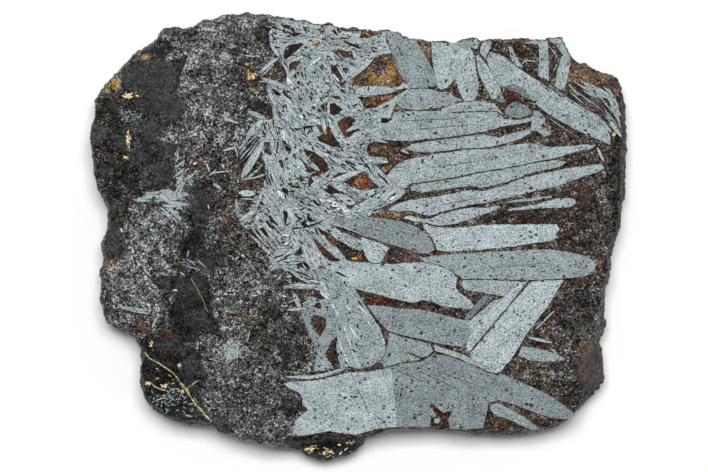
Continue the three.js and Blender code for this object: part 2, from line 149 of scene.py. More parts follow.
def soft_light(name, place, width, depth, power):
    """A lamp that faces the middle of the slab and isn't mirrored in its polish."""
    lamp = bpy.data.lights.new(name, "AREA")
    lamp.shape = "RECTANGLE"
    lamp.size = width
    lamp.size_y = depth
    lamp.energy = power
    holder = bpy.data.objects.new(name, lamp)
    holder.location = place
    holder.rotation_euler = (Vector((0, 0, 0)) - Vector(place)).to_track_quat("-Z", "Y").to_euler()
    holder.visible_glossy = False
    holder.visible_camera = False
    bpy.context.scene.collection.objects.link(holder)


soft_light("key", (0.0, 0.54, 2.44), width=1.1, depth=0.68, power=57.0)
for name, place in {"fill_left": (-1.0, -0.5, 0.3), "fill_right": (1.0, -0.5, 0.3),
                    "fill_back": (0.2, 1.1, 0.3)}.items():
    soft_light(name, place, width=0.3, depth=0.3, power=0.8)
world = bpy.data.worlds.new("studio")
world.use_nodes = True
world.node_tree.nodes["Background"].inputs["Color"].default_value = (1, 1, 1, 1)
world.node_tree.nodes["Background"].inputs["Strength"].default_value = 0.17
bpy.context.scene.world = world
bpy.context.scene.view_settings.view_transform = "Standard"


# The stone: one block of granular magnetite, sawn flat behind, ground flat in front and broken all
# round. Under the blades its soft matrix has worn a little below the polished face.

# The cells of its skin, how far the worn bed has sunk, the roughness of the broken walls and how far
# they swell, and the roughness of the ground and of the worn face.
CELL = 0.5 * MM
SINK = 0.45 * MM
BROKEN_GRAIN = 0.55 * MM
WALL_SWELL = 0.12 * MM
GROUND_GRAIN = 0.05 * MM
WORN_GRAIN = 0.16 * MM

# What counts as the sawn back, as ground face, as worn face and as a bed between the blades: heights
# over the back, or depths under the face. A part that leans more than WALL_LEAN is a broken wall.
BACK_SKIN = 0.1 * MM
BACK_CLEAR = 0.05 * MM
GROUND_DEPTH = 0.2 * MM
FACE_DEPTH = 1.6 * MM
BED_DEPTH = 3 * MM
WALL_LEAN = 0.7

# How fine the broad and the fine part of the roughness are, in waves to the metre.
BROAD_SCALE = 420
FINE_SCALE = 1500

# The border of the bladed part of the face, on the sheet. Outside it the matrix is ground flush.
BLADED = [
    [268, 10], [420, 20], [570, 30], [566, 60], [590, 100], [618, 128], [612, 150], [606, 175],
    [590, 200], [588, 222], [572, 240], [604, 262], [596, 280], [566, 290], [552, 330], [566, 352],
    [540, 366], [560, 395], [584, 420], [550, 440], [480, 445], [420, 440], [380, 436], [340, 438],
    [296, 440], [296, 424], [306, 410], [300, 398], [286, 388], [290, 374], [315, 372], [319, 354],
    [311, 337], [304, 318], [292, 306], [286, 290], [280, 268], [256, 240], [244, 222], [248, 200],
    [240, 180], [238, 165], [250, 140], [264, 118], [270, 100], [262, 76], [276, 58], [272, 40],
]

# Patches of the stone's own colours, and of where it is darker, brighter or smoother: the middle,
# half width and half height on the sheet, and the strength. Three dark strips along the foot's
# lower edge are painted shade: the contact shadow under its rim.
PATCHES = {
    "brown": [
        (338, 143, 9, 6, 1.2), (328, 165, 9, 9, 1.0), (360, 182, 16, 9, 1.2), (320, 325, 8, 11, 1.1),
        (336, 240, 20, 14, 1.0), (404, 258, 22, 7, 1.2), (460, 284, 7, 8, 1.3), (400, 302, 44, 8, 0.9),
        (441, 416, 12, 14, 1.2), (508, 97, 12, 6, 1.2), (228, 222, 12, 10, 1.0), (252, 78, 9, 8, 1.0),
        (178, 30, 18, 5, 0.9), (108, 262, 8, 9, 0.8), (145, 326, 12, 8, 1.0), (170, 350, 14, 8, 0.7),
        (300, 292, 14, 6, 0.8), (585, 235, 30, 70, 0.9), (590, 330, 22, 60, 0.7),
        (595, 370, 22, 30, 1.5), (275, 73, 12, 10, 1.0), (292, 52, 10, 8, 1.0), (380, 74, 30, 20, 0.9),
        (395, 155, 34, 16, 0.8), (520, 55, 40, 18, 0.9), (560, 160, 44, 9, 1.0),
        (525, 218, 44, 7, 0.9), (520, 128, 50, 8, 0.8), (600, 88, 24, 18, 0.8),
        (235, 200, 14, 16, 0.7), (190, 160, 14, 14, 0.6), (250, 170, 14, 12, 0.8),
        (250, 380, 44, 60, 0.5), (560, 340, 30, 50, 0.7), (110, 106, 16, 14, 1.1),
        (110, 170, 18, 36, 1.1), (150, 198, 30, 10, 0.9), (226, 175, 30, 50, 0.8),
        (250, 245, 34, 22, 0.8), (182, 120, 10, 26, 0.6), (262, 330, 26, 40, 0.7),
        (120, 235, 10, 40, 0.8), (245, 60, 22, 50, 0.5), (300, 330, 14, 40, 0.7),
        (104, 290, 8, 40, 0.8), (150, 335, 30, 12, 0.9), (616, 170, 16, 110, 1.2),
        (586, 392, 28, 30, 1.3), (600, 72, 40, 14, 1.2), (495, 425, 14, 12, 0.6),
        (530, 412, 24, 10, 0.7),
    ],
    "rust": [
        (338, 142, 5, 4, 0.9), (364, 181, 5, 6, 1.9), (330, 166, 5, 7, 1.0), (336, 236, 5, 4, 1.1),
        (358, 258, 5, 4, 1.1), (408, 258, 8, 4, 0.4), (460, 284, 4, 5, 0.5), (320, 324, 5, 6, 0.45),
        (541, 345, 4, 3, 0.7), (440, 412, 8, 7, 1.0), (500, 106, 4, 3, 1.0), (524, 48, 4, 4, 0.8),
        (497, 423, 4, 3, 0.5), (511, 96, 9, 4, 0.9), (229, 223, 5, 4, 0.4), (253, 79, 4, 4, 0.9),
        (176, 31, 10, 3, 0.3), (142, 326, 5, 3, 0.7), (164, 352, 4, 3, 0.7), (368, 34, 8, 3, 0.5),
        (408, 158, 12, 3, 0.35), (338, 106, 8, 5, 0.6), (436, 252, 6, 2, 0.9), (350, 293, 10, 3, 0.5),
        (300, 205, 6, 4, 0.4), (245, 187, 8, 3, 0.25), (330, 55, 8, 5, 0.5), (600, 92, 8, 3, 0.6),
        (385, 205, 10, 3, 0.5), (352, 185, 10, 5, 0.6), (168, 335, 5, 5, 0.6), (240, 165, 5, 5, 0.4),
        (598, 106, 14, 6, 0.3), (398, 80, 5, 7, 0.6), (601, 268, 5, 7, 0.5), (598, 70, 8, 5, 1.5),
        (616, 81, 6, 8, 1.3), (577, 65, 6, 4, 1.2), (110, 263, 5, 6, 0.5), (192, 163, 8, 7, 0.42),
        (226, 222, 5, 5, 0.48), (347, 122, 8, 8, 0.45), (330, 138, 8, 6, 0.45), (382, 102, 14, 4, 0.7),
        (602, 84, 8, 4, 0.6), (363, 182, 3, 3, 1.2), (528, 219, 14, 3, 0.5), (580, 84, 6, 4, 0.5),
        (382, 299, 18, 5, 0.8),
    ],
    "umber": [
        (380, 74, 26, 18, 1.5), (382, 100, 18, 8, 0.85), (382, 149, 16, 9, 0.45),
        (396, 160, 14, 9, 0.3), (364, 180, 10, 9, 0.8), (361, 82, 5, 8, 1.5), (325, 165, 5, 10, 0.8),
        (330, 140, 10, 6, 0.5), (425, 48, 6, 10, 0.8), (390, 214, 26, 4, 0.9), (405, 259, 20, 6, 0.35),
        (438, 417, 8, 10, 0.3), (503, 422, 14, 12, 0.4), (445, 253, 60, 3, 0.3),
        (592, 75, 26, 10, 1.1), (586, 350, 10, 12, 0.53), (584, 65, 13, 5, 2.0), (606, 73, 14, 6, 2.0),
        (619, 88, 5, 10, 1.2), (584, 370, 6, 12, 0.5), (580, 314, 6, 2.5, 0.5), (508, 98, 10, 7, 0.2),
        (550, 160, 40, 6, 0.2), (505, 218, 40, 5, 0.2),
    ],
    "plum": [
        (378, 68, 4, 8, 1.3), (383, 66, 4, 5, 0.8), (593, 376, 12, 20, 1.1), (402, 257, 16, 6, 0.7),
        (460, 285, 4, 6, 0.5), (560, 412, 14, 6, 0.5), (330, 141, 9, 5, 0.7), (345, 130, 6, 6, 0.7),
        (336, 190, 9, 4, 0.7), (596, 106, 16, 7, 0.9),
    ],
    "ochre": [
        (588, 66, 6, 4, 1.3), (608, 75, 7, 4, 1.3), (370, 76, 5, 4, 0.9), (380, 79, 8, 3, 1.0),
        (392, 69, 3, 6, 0.9), (388, 76, 5, 4, 0.8), (372, 145, 5, 8, 0.35), (110, 84, 11, 7, 0.9),
        (145, 57, 6, 3, 0.7), (586, 71, 9, 5, 0.6), (602, 77, 6, 4, 0.6), (594, 75, 4, 3, 0.4),
        (312, 452, 10, 5, 0.4), (360, 100, 12, 6, 0.2), (380, 148, 14, 5, 0.25), (388, 168, 6, 4, 0.4),
        (160, 32, 8, 3, 0.4), (555, 92, 8, 6, 0.4),
    ],
    "dark": [
        (186, 308, 24, 34, 0.9), (162, 378, 30, 44, 1.0), (325, 450, 40, 18, 1.3),
        (100, 160, 12, 30, 0.5), (192, 256, 18, 24, 0.9), (116, 118, 22, 14, 0.6),
        (118, 172, 20, 26, 0.5), (240, 66, 12, 24, 0.4), (580, 302, 22, 30, 0.6),
        (575, 225, 30, 44, 0.3), (225, 250, 16, 30, 0.3), (438, 420, 9, 10, 0.5), (508, 98, 8, 5, 0.8),
        (617, 160, 9, 100, 0.9), (576, 66, 10, 8, 0.6), (592, 70, 5, 4, 0.9), (598, 78, 5, 3, 0.9),
        (612, 86, 10, 8, 0.6), (612, 320, 10, 60, 0.4), (590, 355, 14, 14, 0.35),
        # The strips at (450, 435), (560, 426) and (345, 441) are painted shade: the contact shadow along the
        # foot's lower edge.
        (215, 150, 14, 16, 0.4), (450, 435, 90, 5, 1.3), (541, 345, 7, 5, 0.8), (333, 354, 6, 11, 0.9),
        (297, 344, 10, 26, 0.45), (584, 396, 24, 26, 0.7), (560, 426, 30, 8, 0.8),
        (345, 441, 40, 6, 1.0), (503, 424, 14, 8, 0.5), (525, 50, 14, 8, 0.6), (384, 152, 16, 9, 0.4),
        (598, 71, 24, 9, 0.6), (525, 218, 34, 7, 0.6), (568, 133, 16, 9, 0.35), (415, 302, 26, 6, 0.4),
        (192, 205, 18, 16, 0.3), (250, 400, 30, 30, 0.3), (130, 310, 24, 30, 0.25),
        (270, 330, 20, 30, 0.25),
    ],
    "bright": [
        (140, 265, 34, 50, 0.5), (152, 230, 22, 20, 0.4), (245, 300, 44, 34, 0.1),
        (205, 90, 26, 55, 0.1), (128, 116, 12, 3, 0.6), (205, 46, 8, 8, 1.0), (172, 396, 8, 4, 1.2),
        (192, 52, 8, 10, 0.8), (250, 395, 40, 40, 0.25), (236, 26, 36, 10, 0.25),
        (112, 322, 8, 4, 1.4), (135, 306, 22, 4, 1.3), (156, 318, 4, 12, 1.0), (98, 132, 8, 12, 0.7),
        (226, 150, 16, 20, 0.2), (215, 125, 14, 14, 0.3), (168, 136, 6, 5, 0.8),
        (120, 262, 8, 12, 0.8), (250, 56, 10, 3, 0.8),
    ],
    "smooth": [
        (150, 76, 28, 20, 1.0), (170, 106, 14, 16, 1.0), (148, 106, 12, 8, 0.8), (115, 107, 9, 5, 0.9),
        (98, 132, 9, 13, 1.1), (121, 143, 7, 6, 1.1), (105, 171, 7, 7, 1.3), (154, 132, 13, 10, 1.1),
        (135, 157, 7, 9, 1.0), (167, 148, 9, 9, 1.0), (165, 171, 10, 10, 1.0), (125, 128, 7, 5, 1.1),
        (137, 123, 8, 4, 0.8), (201, 205, 11, 15, 1.0), (206, 263, 9, 9, 0.9), (190, 293, 17, 16, 0.9),
        (164, 283, 8, 6, 0.8), (168, 343, 14, 8, 0.8), (191, 366, 8, 12, 0.8), (216, 421, 14, 6, 0.8),
        (108, 214, 6, 14, 0.7), (113, 238, 9, 16, 0.9), (198, 320, 12, 12, 0.8), (190, 385, 8, 8, 0.7),
        (590, 369, 14, 24, 1.2),
    ],
}

# The black lenses in the stone, and the black of its broken foot, outlined on the sheet.
BLACK_LENSES = [
    [[97, 98], [120, 95], [142, 108], [148, 118], [140, 129], [130, 140], [124, 152], [112, 152],
     [104, 134], [94, 118]],
    [[104, 154], [126, 152], [130, 168], [122, 182], [124, 192], [112, 194], [104, 182]],
    [[124, 68], [136, 61], [152, 60], [166, 63], [178, 58], [186, 53], [184, 64], [179, 74], [177, 84],
     [177, 94], [181, 102], [183, 112], [179, 122], [170, 128], [160, 134], [162, 142], [172, 146],
     [176, 155], [173, 166], [177, 180], [170, 187], [155, 190], [140, 195], [126, 190], [122, 180],
     [128, 166], [131, 150], [130, 138], [141, 128], [147, 118], [141, 108], [127, 104], [120, 96],
     [119, 84]],
    [[92, 118], [104, 116], [112, 122], [122, 128], [128, 142], [126, 152], [112, 152], [101, 161],
     [110, 170], [108, 180], [98, 178], [92, 160]],
    [[103, 198], [120, 194], [130, 199], [127, 210], [124, 220], [124, 236], [128, 248], [121, 258],
     [106, 260], [104, 245], [109, 225], [110, 210]],
    [[194, 180], [204, 178], [214, 186], [218, 197], [214, 212], [208, 223], [206, 236], [200, 246],
     [197, 256], [187, 260], [180, 252], [182, 239], [189, 228], [190, 212], [192, 196]],
    [[204, 246], [216, 249], [222, 260], [214, 272], [204, 268], [199, 256]],
    [[152, 281], [166, 279], [176, 275], [190, 271], [204, 274], [210, 284], [212, 300], [214, 316],
     [221, 326], [214, 336], [200, 332], [196, 343], [181, 345], [173, 336], [168, 320], [172, 306],
     [180, 297], [173, 290], [160, 290]],
    [[142, 346], [160, 337], [176, 340], [192, 346], [202, 352], [204, 366], [209, 378], [201, 391],
     [201, 402], [214, 416], [228, 422], [233, 436], [200, 440], [176, 425], [150, 412], [136, 380],
     [136, 360]],
    [[282, 343], [290, 341], [292, 360], [288, 373], [282, 366]],
    [[282, 437], [300, 438], [330, 440], [352, 437], [364, 446], [350, 460], [336, 464], [312, 460],
     [286, 448]],
    [[268, 306], [280, 304], [281, 318], [272, 325], [266, 316]],
    [[244, 99], [262, 100], [270, 108], [262, 114], [250, 110]],
    [[254, 26], [272, 24], [275, 40], [266, 46], [256, 40]],
    [[282, 398], [296, 396], [304, 402], [300, 412], [289, 420], [280, 412]],
    [[142, 52], [160, 38], [172, 42], [174, 52], [160, 56], [146, 56]],
]

# How many steps a lens's border takes to turn from the stone's own grey to black.
LENS_BLUR = 9

# The stains line the worn face and its broken rim. They fade between these depths below the face.
STAINS = ("rust", "umber", "plum", "ochre")
STAIN_DEPTHS = (1.5 * MM, 6.0 * MM)


def merged_slab():
    """The slab's CAD solid with its loose triangles joined, as a bmesh."""
    made = bmesh.new()
    made.from_mesh(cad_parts["slab"].data)
    bmesh.ops.remove_doubles(made, verts=made.verts, dist=1e-7)
    return made


def applied(piece):
    """Puts a piece's modifiers into its mesh for good."""
    depsgraph = bpy.context.evaluated_depsgraph_get()
    baked = bpy.data.meshes.new_from_object(piece.evaluated_get(depsgraph))
    piece.modifiers.clear()
    piece.data = baked


def inside(points, outline):
    """For each row of points, right and down on the sheet, whether it is inside the outline."""
    right, down = points[:, 0], points[:, 1]
    found = np.zeros(len(points), bool)
    for (r0, d0), (r1, d1) in zip(outline, outline[1:] + outline[:1]):
        if d0 == d1:
            continue
        spans = (d0 > down) != (d1 > down)
        found ^= spans & (right < r0 + (down - d0) * (r1 - r0) / (d1 - d0))
    return found


def sheet_places(data):
    """Every vertex of a mesh as steps right and down the sheet, and its height in metres."""
    spots = np.empty(len(data.vertices) * 3, np.float32)
    data.vertices.foreach_get("co", spots)
    spots = spots.reshape(-1, 3)
    right = spots[:, 0] / STEP + SHEET_MIDDLE[0]
    down = SHEET_MIDDLE[1] - spots[:, 1] / STEP
    return np.stack([right, down], axis=1), spots[:, 2]


def write_attribute(data, name, values):
    """Stores one number for each vertex under a name that a material can read."""
    layer = data.attributes.new(name, "FLOAT", "POINT")
    layer.data.foreach_set("value", np.asarray(values, np.float32))


def patch_strength(places, patches):
    """How strongly a list of oval patches covers each place, from 0 to the patches' strength."""
    total = np.zeros(len(places))
    for right, down, width, height, strength in patches:
        away = ((places[:, 0] - right) / width) ** 2 + ((places[:, 1] - down) / height) ** 2
        total = np.maximum(total, strength * np.clip(1.25 - away * 0.8, 0, 1))
    return total


def border_depth(places, outline):
    """How many steps inside an outline each place is, below zero where it is outside."""
    nearest = np.full(len(places), np.inf)
    for start, end in zip(outline, outline[1:] + outline[:1]):
        along = np.subtract(end, start)
        share = np.clip((places - start) @ along / (along @ along), 0, 1)
        nearest = np.minimum(nearest, np.hypot(*(places - start - np.outer(share, along)).T))
    return np.where(inside(places, outline), nearest, -nearest)


def texture(tree, place, scale, detail=2.0, roughness=0.5):
    """A cloud of noise over a place, as a value around a half."""
    made = node(tree, "ShaderNodeTexNoise", {"Vector": place, "Scale": scale, "Detail": detail,
                                             "Roughness": roughness})
    return made.outputs[0]


def crystals(tree, place, scale):
    """Cells of the given scale: the distance to each one's middle, and three random values in it."""
    made = node(tree, "ShaderNodeTexVoronoi", {"Vector": place, "Scale": scale})
    values = node(tree, "ShaderNodeSeparateColor", {0: made.outputs["Color"]}).outputs
    return made.outputs["Distance"], values


def swayed(tree, base, *swings):
    """A base value with several values around a half added to it, each by its own amount."""
    for value, amount in swings:
        base = sums(tree, "MULTIPLY_ADD", sums(tree, "SUBTRACT", value, 0.5), amount, base)
    return base


def stepped(tree, value, low, high):
    """A value as a share that is 0 up to low and 1 from high."""
    return node(tree, "ShaderNodeMapRange", {0: value, 1: low, 2: high}).outputs[0]


def specks(tree, place, scale, channel, rarity, size):
    """Round specks in the few cells whose random value is over the rarity, each up to a size."""
    away, chance = crystals(tree, place, scale)
    return sums(tree, "MULTIPLY", stepped(tree, chance[channel], *rarity), stepped(tree, away, *size))


def attribute(tree, name):
    """The value that a mesh stores at each vertex under a name."""
    return node(tree, "ShaderNodeAttribute", attribute_name=name).outputs["Fac"]


def stone_material():
    """Granular magnetite: black, brown and silvery grains, with rust and ochre in its hollows."""
    material, tree, shader = new_material("magnetite_matrix")
    place = node(tree, "ShaderNodeTexCoord").outputs["Object"]
    clumps = texture(tree, place, 330, 4.0, 0.6)
    grains = texture(tree, place, 1700, 3.0, 0.65)
    _, chips = crystals(tree, place, 1500)
    _, cells = crystals(tree, place, 3300)
    value = swayed(tree, 0.44, (clumps, 1.3), (grains, 1.0), (chips[0], 0.28), (cells[0], 0.9))
    value = sums(tree, "MULTIPLY_ADD", attribute(tree, "bright"), 0.17, value)
    # The dark patches darken the stone. Along the foot's lower edge this darkening is painted shade.
    value = sums(tree, "MULTIPLY_ADD", attribute(tree, "dark"), -0.25, value)
    ragged = texture(tree, place, 650, 5.0, 0.6)

    def mask(name, softness, amount=1.6):
        """How fully the stone has a colour here: a stored strength with a ragged border."""
        swing = swayed(tree, 1.0, (ragged, amount), (chips[2], 0.3))
        swing = sums(tree, "MULTIPLY", attribute(tree, name), swing)
        return stepped(tree, swing, 0.5 - softness, 0.5 + softness)

    smooth = mask("smooth", 0.25, 1.4)
    calm = sums(tree, "MULTIPLY", smooth, 0.5)
    value = sums(tree, "MULTIPLY_ADD", sums(tree, "SUBTRACT", 0.45, value), calm, value)
    silver = ramp(tree, value, (0.0, (18, 17, 16)), (1.0, (216, 222, 220)), (0.2, (46, 45, 43)),
                  (0.42, (80, 80, 78)), (0.68, (108, 109, 107)), (0.86, (148, 151, 149)))
    black = ramp(tree, value, (0.0, (9, 9, 9)), (1.0, (104, 108, 106)), (0.36, (46, 48, 47)),
                 (0.75, (62, 65, 64)))
    slate = ramp(tree, value, (0.0, (10, 11, 11)), (1.0, (116, 119, 119)), (0.42, (56, 58, 58)))
    earth = ramp(tree, value, (0.0, (9, 8, 7)), (1.0, (122, 114, 104)), (0.36, (45, 41, 37)),
                 (0.75, (70, 64, 58)))
    brown = ramp(tree, value, (0.0, (14, 12, 10)), (1.0, (184, 182, 176)), (0.22, (42, 38, 36)),
                 (0.45, (70, 66, 63)), (0.7, (92, 87, 83)), (0.86, (124, 120, 116)))
    under = ramp(tree, value, (0.0, (20, 15, 13)), (1.0, (178, 166, 154)), (0.4, (64, 53, 45)),
                 (0.75, (98, 86, 77)))
    rust = ramp(tree, value, (0.0, (30, 16, 11)), (1.0, (198, 120, 68)), (0.4, (92, 50, 31)),
                (0.75, (134, 75, 40)))
    umber = ramp(tree, value, (0.0, (40, 31, 25)), (1.0, (212, 190, 162)), (0.4, (108, 86, 66)),
                 (0.7, (146, 120, 94)))
    plum = ramp(tree, value, (0.0, (32, 25, 28)), (1.0, (146, 130, 132)), (0.5, (84, 72, 72)))
    ochre = ramp(tree, value, (0.0, (40, 30, 22)), (1.0, (206, 176, 116)), (0.45, (136, 113, 60)),
                 (0.75, (166, 138, 78)))
    bed = attribute(tree, "bed")
    colour = blend(tree, mask("brown", 0.3), silver, brown)
    colour = blend(tree, sums(tree, "MULTIPLY", bed, 0.8), colour, under)
    spark = specks(tree, place, 1300, channel=1, rarity=(0.9, 0.92), size=(0.32, 0.18))
    spark = sums(tree, "MULTIPLY", spark, stepped(tree, swayed(tree, ragged, (bed, -0.02)), 0.4, 0.65))
    blackness = mask("black", 0.12, 2.6)
    spark = sums(tree, "MULTIPLY", spark, sums(tree, "MULTIPLY_ADD", blackness, -0.55, 1.0))
    black = blend(tree, sums(tree, "MULTIPLY", mask("brown", 0.3), 0.8), black, earth)
    colour = blend(tree, blackness, colour, black)
    colour = blend(tree, spark, colour, linear(206, 208, 206))
    pit = specks(tree, place, 900, channel=2, rarity=(0.8, 0.84), size=(0.4, 0.2))
    colour = blend(tree, sums(tree, "MULTIPLY", pit, 0.85), colour, linear(9, 8, 7))
    colour = blend(tree, sums(tree, "MULTIPLY", smooth, 0.85), colour, slate)
    colour = blend(tree, mask("umber", 0.3, 2.0), colour, umber)
    colour = blend(tree, mask("plum", 0.3, 2.0), colour, plum)
    colour = blend(tree, sums(tree, "MULTIPLY", mask("rust", 0.3, 2.4), 0.85), colour, rust)
    colour = blend(tree, mask("ochre", 0.3, 2.4), colour, ochre)
    tree.links.new(colour, shader.inputs["Base Color"])
    shine = node(tree, "ShaderNodeMapRange", {0: cells[1], 1: 0.0, 2: 1.0, 3: 0.35, 4: 0.8}).outputs[0]
    tree.links.new(shine, shader.inputs["Roughness"])
    shader.inputs["Metallic"].default_value = 0.1
    shader.inputs["Specular IOR Level"].default_value = 0.25
    height = swayed(tree, grains, (cells[2], 0.5))
    bump = node(tree, "ShaderNodeBump", {"Strength": 0.5, "Distance": 0.0002, "Height": height})
    tree.links.new(bump.outputs[0], shader.inputs["Normal"])
    return material


def build_stone():
    """The stone as a fine even skin over the CAD solid, roughened grain by grain."""
    stone = finished(merged_slab(), "stone", stone_material())
    skin = stone.modifiers.new("skin", "REMESH")
    skin.mode = "VOXEL"
    skin.voxel_size = CELL
    applied(stone)
    rough = bmesh.new()
    rough.from_mesh(stone.data)
    places, _ = sheet_places(stone.data)
    sunk = inside(places, BLADED)
    rough.verts.ensure_lookup_table()
    rough.normal_update()
    moves = []
    for vertex in rough.verts:
        spot = vertex.co
        if spot.z < BACK_SKIN:
            moves.append(Vector((0, 0, -spot.z)))
            continue
        broad = noise.fractal(spot * BROAD_SCALE, 1.0, 2.0, 3)
        fine = noise.noise(spot * FINE_SCALE)
        if vertex.normal.z < WALL_LEAN or spot.z < FACE - FACE_DEPTH:
            amount = BROKEN_GRAIN * (broad + 0.5 * fine) + WALL_SWELL
        elif sunk[vertex.index]:
            amount = WORN_GRAIN * (0.6 * broad + fine) - 0.5 * WORN_GRAIN
            if spot.z > FACE - SINK:
                amount -= SINK
        else:
            amount = GROUND_GRAIN * (fine - 1) if spot.z > FACE - GROUND_DEPTH else WORN_GRAIN * fine
        shift = vertex.normal * amount
        shift.z = min(max(shift.z, BACK_CLEAR - spot.z), FACE - spot.z)
        moves.append(shift)
    for vertex, move in zip(rough.verts, moves):
        vertex.co += move
    back = [face for face in rough.faces if all(v.co.z < BACK_CLEAR for v in face.verts)]
    bmesh.ops.dissolve_faces(rough, faces=back, use_verts=False)
    rough.to_mesh(stone.data)
    rough.free()
    places, heights = sheet_places(stone.data)
    faded = 1 - 0.8 * np.clip((FACE - heights - STAIN_DEPTHS[0]) / np.ptp(STAIN_DEPTHS), 0, 1)
    for name, patches in PATCHES.items():
        strength = patch_strength(places, patches)
        write_attribute(stone.data, name, strength * faded if name in STAINS else strength)
    depth = np.max([border_depth(places, outline) for outline in BLACK_LENSES], axis=0)
    write_attribute(stone.data, "black", np.clip(0.5 + depth / LENS_BLUR, 0, 1.2))
    write_attribute(stone.data, "bed", inside(places, BLADED) & (heights > FACE - BED_DEPTH))
    stone.data.shade_smooth()
    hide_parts("slab")
    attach(stone, "root")
    return stone


stone = build_stone()
stone_tree = BVHTree.FromObject(stone, bpy.context.evaluated_depsgraph_get())
RAY_START = 5 * MM


def point_under(surface, right, down):
    """Where a ray straight down over a place on the sheet first meets a surface, or None."""
    return surface.ray_cast(on_face(right, down, RAY_START), Vector((0, 0, -1)))[0]


# The broad blades: single hematite crystals, cut across and polished, in fans that spread to the
# right and to the foot. Each stands in its bed of matrix with a thin worn seam along its edges.

# The bare and the bright greys of a polished blade, and what stains, seams and pits it.
DULL_GREY = (90, 100, 103)
DEEP_GREY = (148, 159, 161)
MID_GREY = (166, 179, 180)
BRIGHT_GREY = (190, 203, 206)
WHITE_GREY = (230, 240, 243)
STAIN_BROWN = (112, 104, 97)
SEAM_BROWN = (40, 33, 29)
PIT_BLACK = (22, 21, 22)


def stretched(tree, lay, along, across):
    """A blade's own places scaled along and across its grain, for textures that run with it."""
    return node(tree, "ShaderNodeMapping", {0: lay, 3: (along, across, 1.0)}).outputs[0]


def blade_material(name):
    """Polished hematite: bluish grey, finely grained and streaked along, with small black pits."""
    material, tree, shader = new_material(name)
    place = node(tree, "ShaderNodeTexCoord").outputs["Object"]
    lay = node(tree, "ShaderNodeUVMap", uv_map="grain").outputs[0]
    tone = attribute(tree, "tone")
    rim = attribute(tree, "rim")
    streak = texture(tree, stretched(tree, lay, 0.3, 3.5), 1.0, 3.0)
    hatch = texture(tree, stretched(tree, lay, 3.5, 1.5), 1.0)
    grain = texture(tree, place, 2300, 3.0, 0.7)
    drift = texture(tree, place, 260)
    colour = ramp(tree, tone, (0.0, DULL_GREY), (1.0, WHITE_GREY), (0.3, DEEP_GREY), (0.5, MID_GREY),
                  (0.85, BRIGHT_GREY))
    blotch = texture(tree, place, 950, 3.0, 0.6)
    mottle = swayed(tree, 1.0, (streak, 0.6), (hatch, 0.7), (grain, 3.3), (drift, 1.0), (blotch, 0.4))
    colour = blend(tree, 1.0, colour, mottle, "MULTIPLY")
    stained = stepped(tree, swayed(tree, texture(tree, place, 520, 4.0, 0.6), (rim, 0.14)), 0.55, 0.7)
    colour = blend(tree, sums(tree, "MULTIPLY", stained, 0.65), colour, linear(*STAIN_BROWN))
    lines = texture(tree, stretched(tree, lay, 0.1, 5.0), 1.0, 3.0)
    cleaved = sums(tree, "MULTIPLY", stepped(tree, lines, 0.62, 0.7), stepped(tree, drift, 0.4, 0.6))
    colour = blend(tree, sums(tree, "MULTIPLY", cleaved, 0.4), colour, linear(*SEAM_BROWN))

    def pits(scale, reach, power):
        """Pits with ragged rims, up to a reach; the higher the power, the rarer the large ones."""
        away, chance = crystals(tree, stretched(tree, lay, 0.8, 1.25), scale)
        radius = sums(tree, "MULTIPLY", sums(tree, "POWER", chance[0], power), reach)
        rough_away = swayed(tree, away, (hatch, 0.5), (grain, 0.7))
        return stepped(tree, sums(tree, "SUBTRACT", radius, rough_away), -0.04, 0.04)

    pit = sums(tree, "MAXIMUM", pits(0.95, 0.38, 2.4), sums(tree, "MULTIPLY", pits(2.3, 0.44, 2.4), 0.8))
    colour = blend(tree, sums(tree, "MULTIPLY", pit, 0.92), colour, linear(*PIT_BLACK))
    glint = specks(tree, place, 1500, channel=1, rarity=(0.9, 0.94), size=(0.5, 0.2))
    colour = blend(tree, sums(tree, "MULTIPLY", glint, 0.4), colour, linear(*WHITE_GREY))
    worn = stepped(tree, swayed(tree, rim, (streak, 1.2), (hatch, 1.8)), 0.55, 1.0)
    colour = blend(tree, sums(tree, "MULTIPLY", worn, 0.8), colour, linear(*SEAM_BROWN))
    tree.links.new(colour, shader.inputs["Base Color"])
    shader.inputs["Metallic"].default_value = 0.25
    shader.inputs["Roughness"].default_value = 0.5
    shader.inputs["Specular IOR Level"].default_value = 0.3
    height = sums(tree, "SUBTRACT", swayed(tree, grain, (streak, 0.3)), sums(tree, "MULTIPLY", pit, 2.5))
    bump = node(tree, "ShaderNodeBump", {"Strength": 0.35, "Distance": 0.00008, "Height": height})
    tree.links.new(bump.outputs[0], shader.inputs["Normal"])
    return material


# How far the blades stand over the face, and each over the one before, their thickness, and the
# width and fall of their worn rims. An edge has a point at each EDGE_STEP, which is moved up to
# EDGE_RAG steps of the sheet, and GRAIN_SHIFT sets the grain of each blade apart from the others'.
BLADE_RISE = 0.03 * MM
BLADE_STEP = 0.001 * MM
BLADE_DEPTH = 0.7 * MM
RIM_WIDTH = 0.11 * MM
RIM_DROP = 0.05 * MM
EDGE_STEP = 2.6
EDGE_RAG = 0.7
EDGE_SCALE = 0.45
GRAIN_SHIFT = 7.3

# Without a seed, noise vectors differ from run to run: those of the edges and of the veins use this.
EDGE_SEED = 5
noise.seed_set(EDGE_SEED)

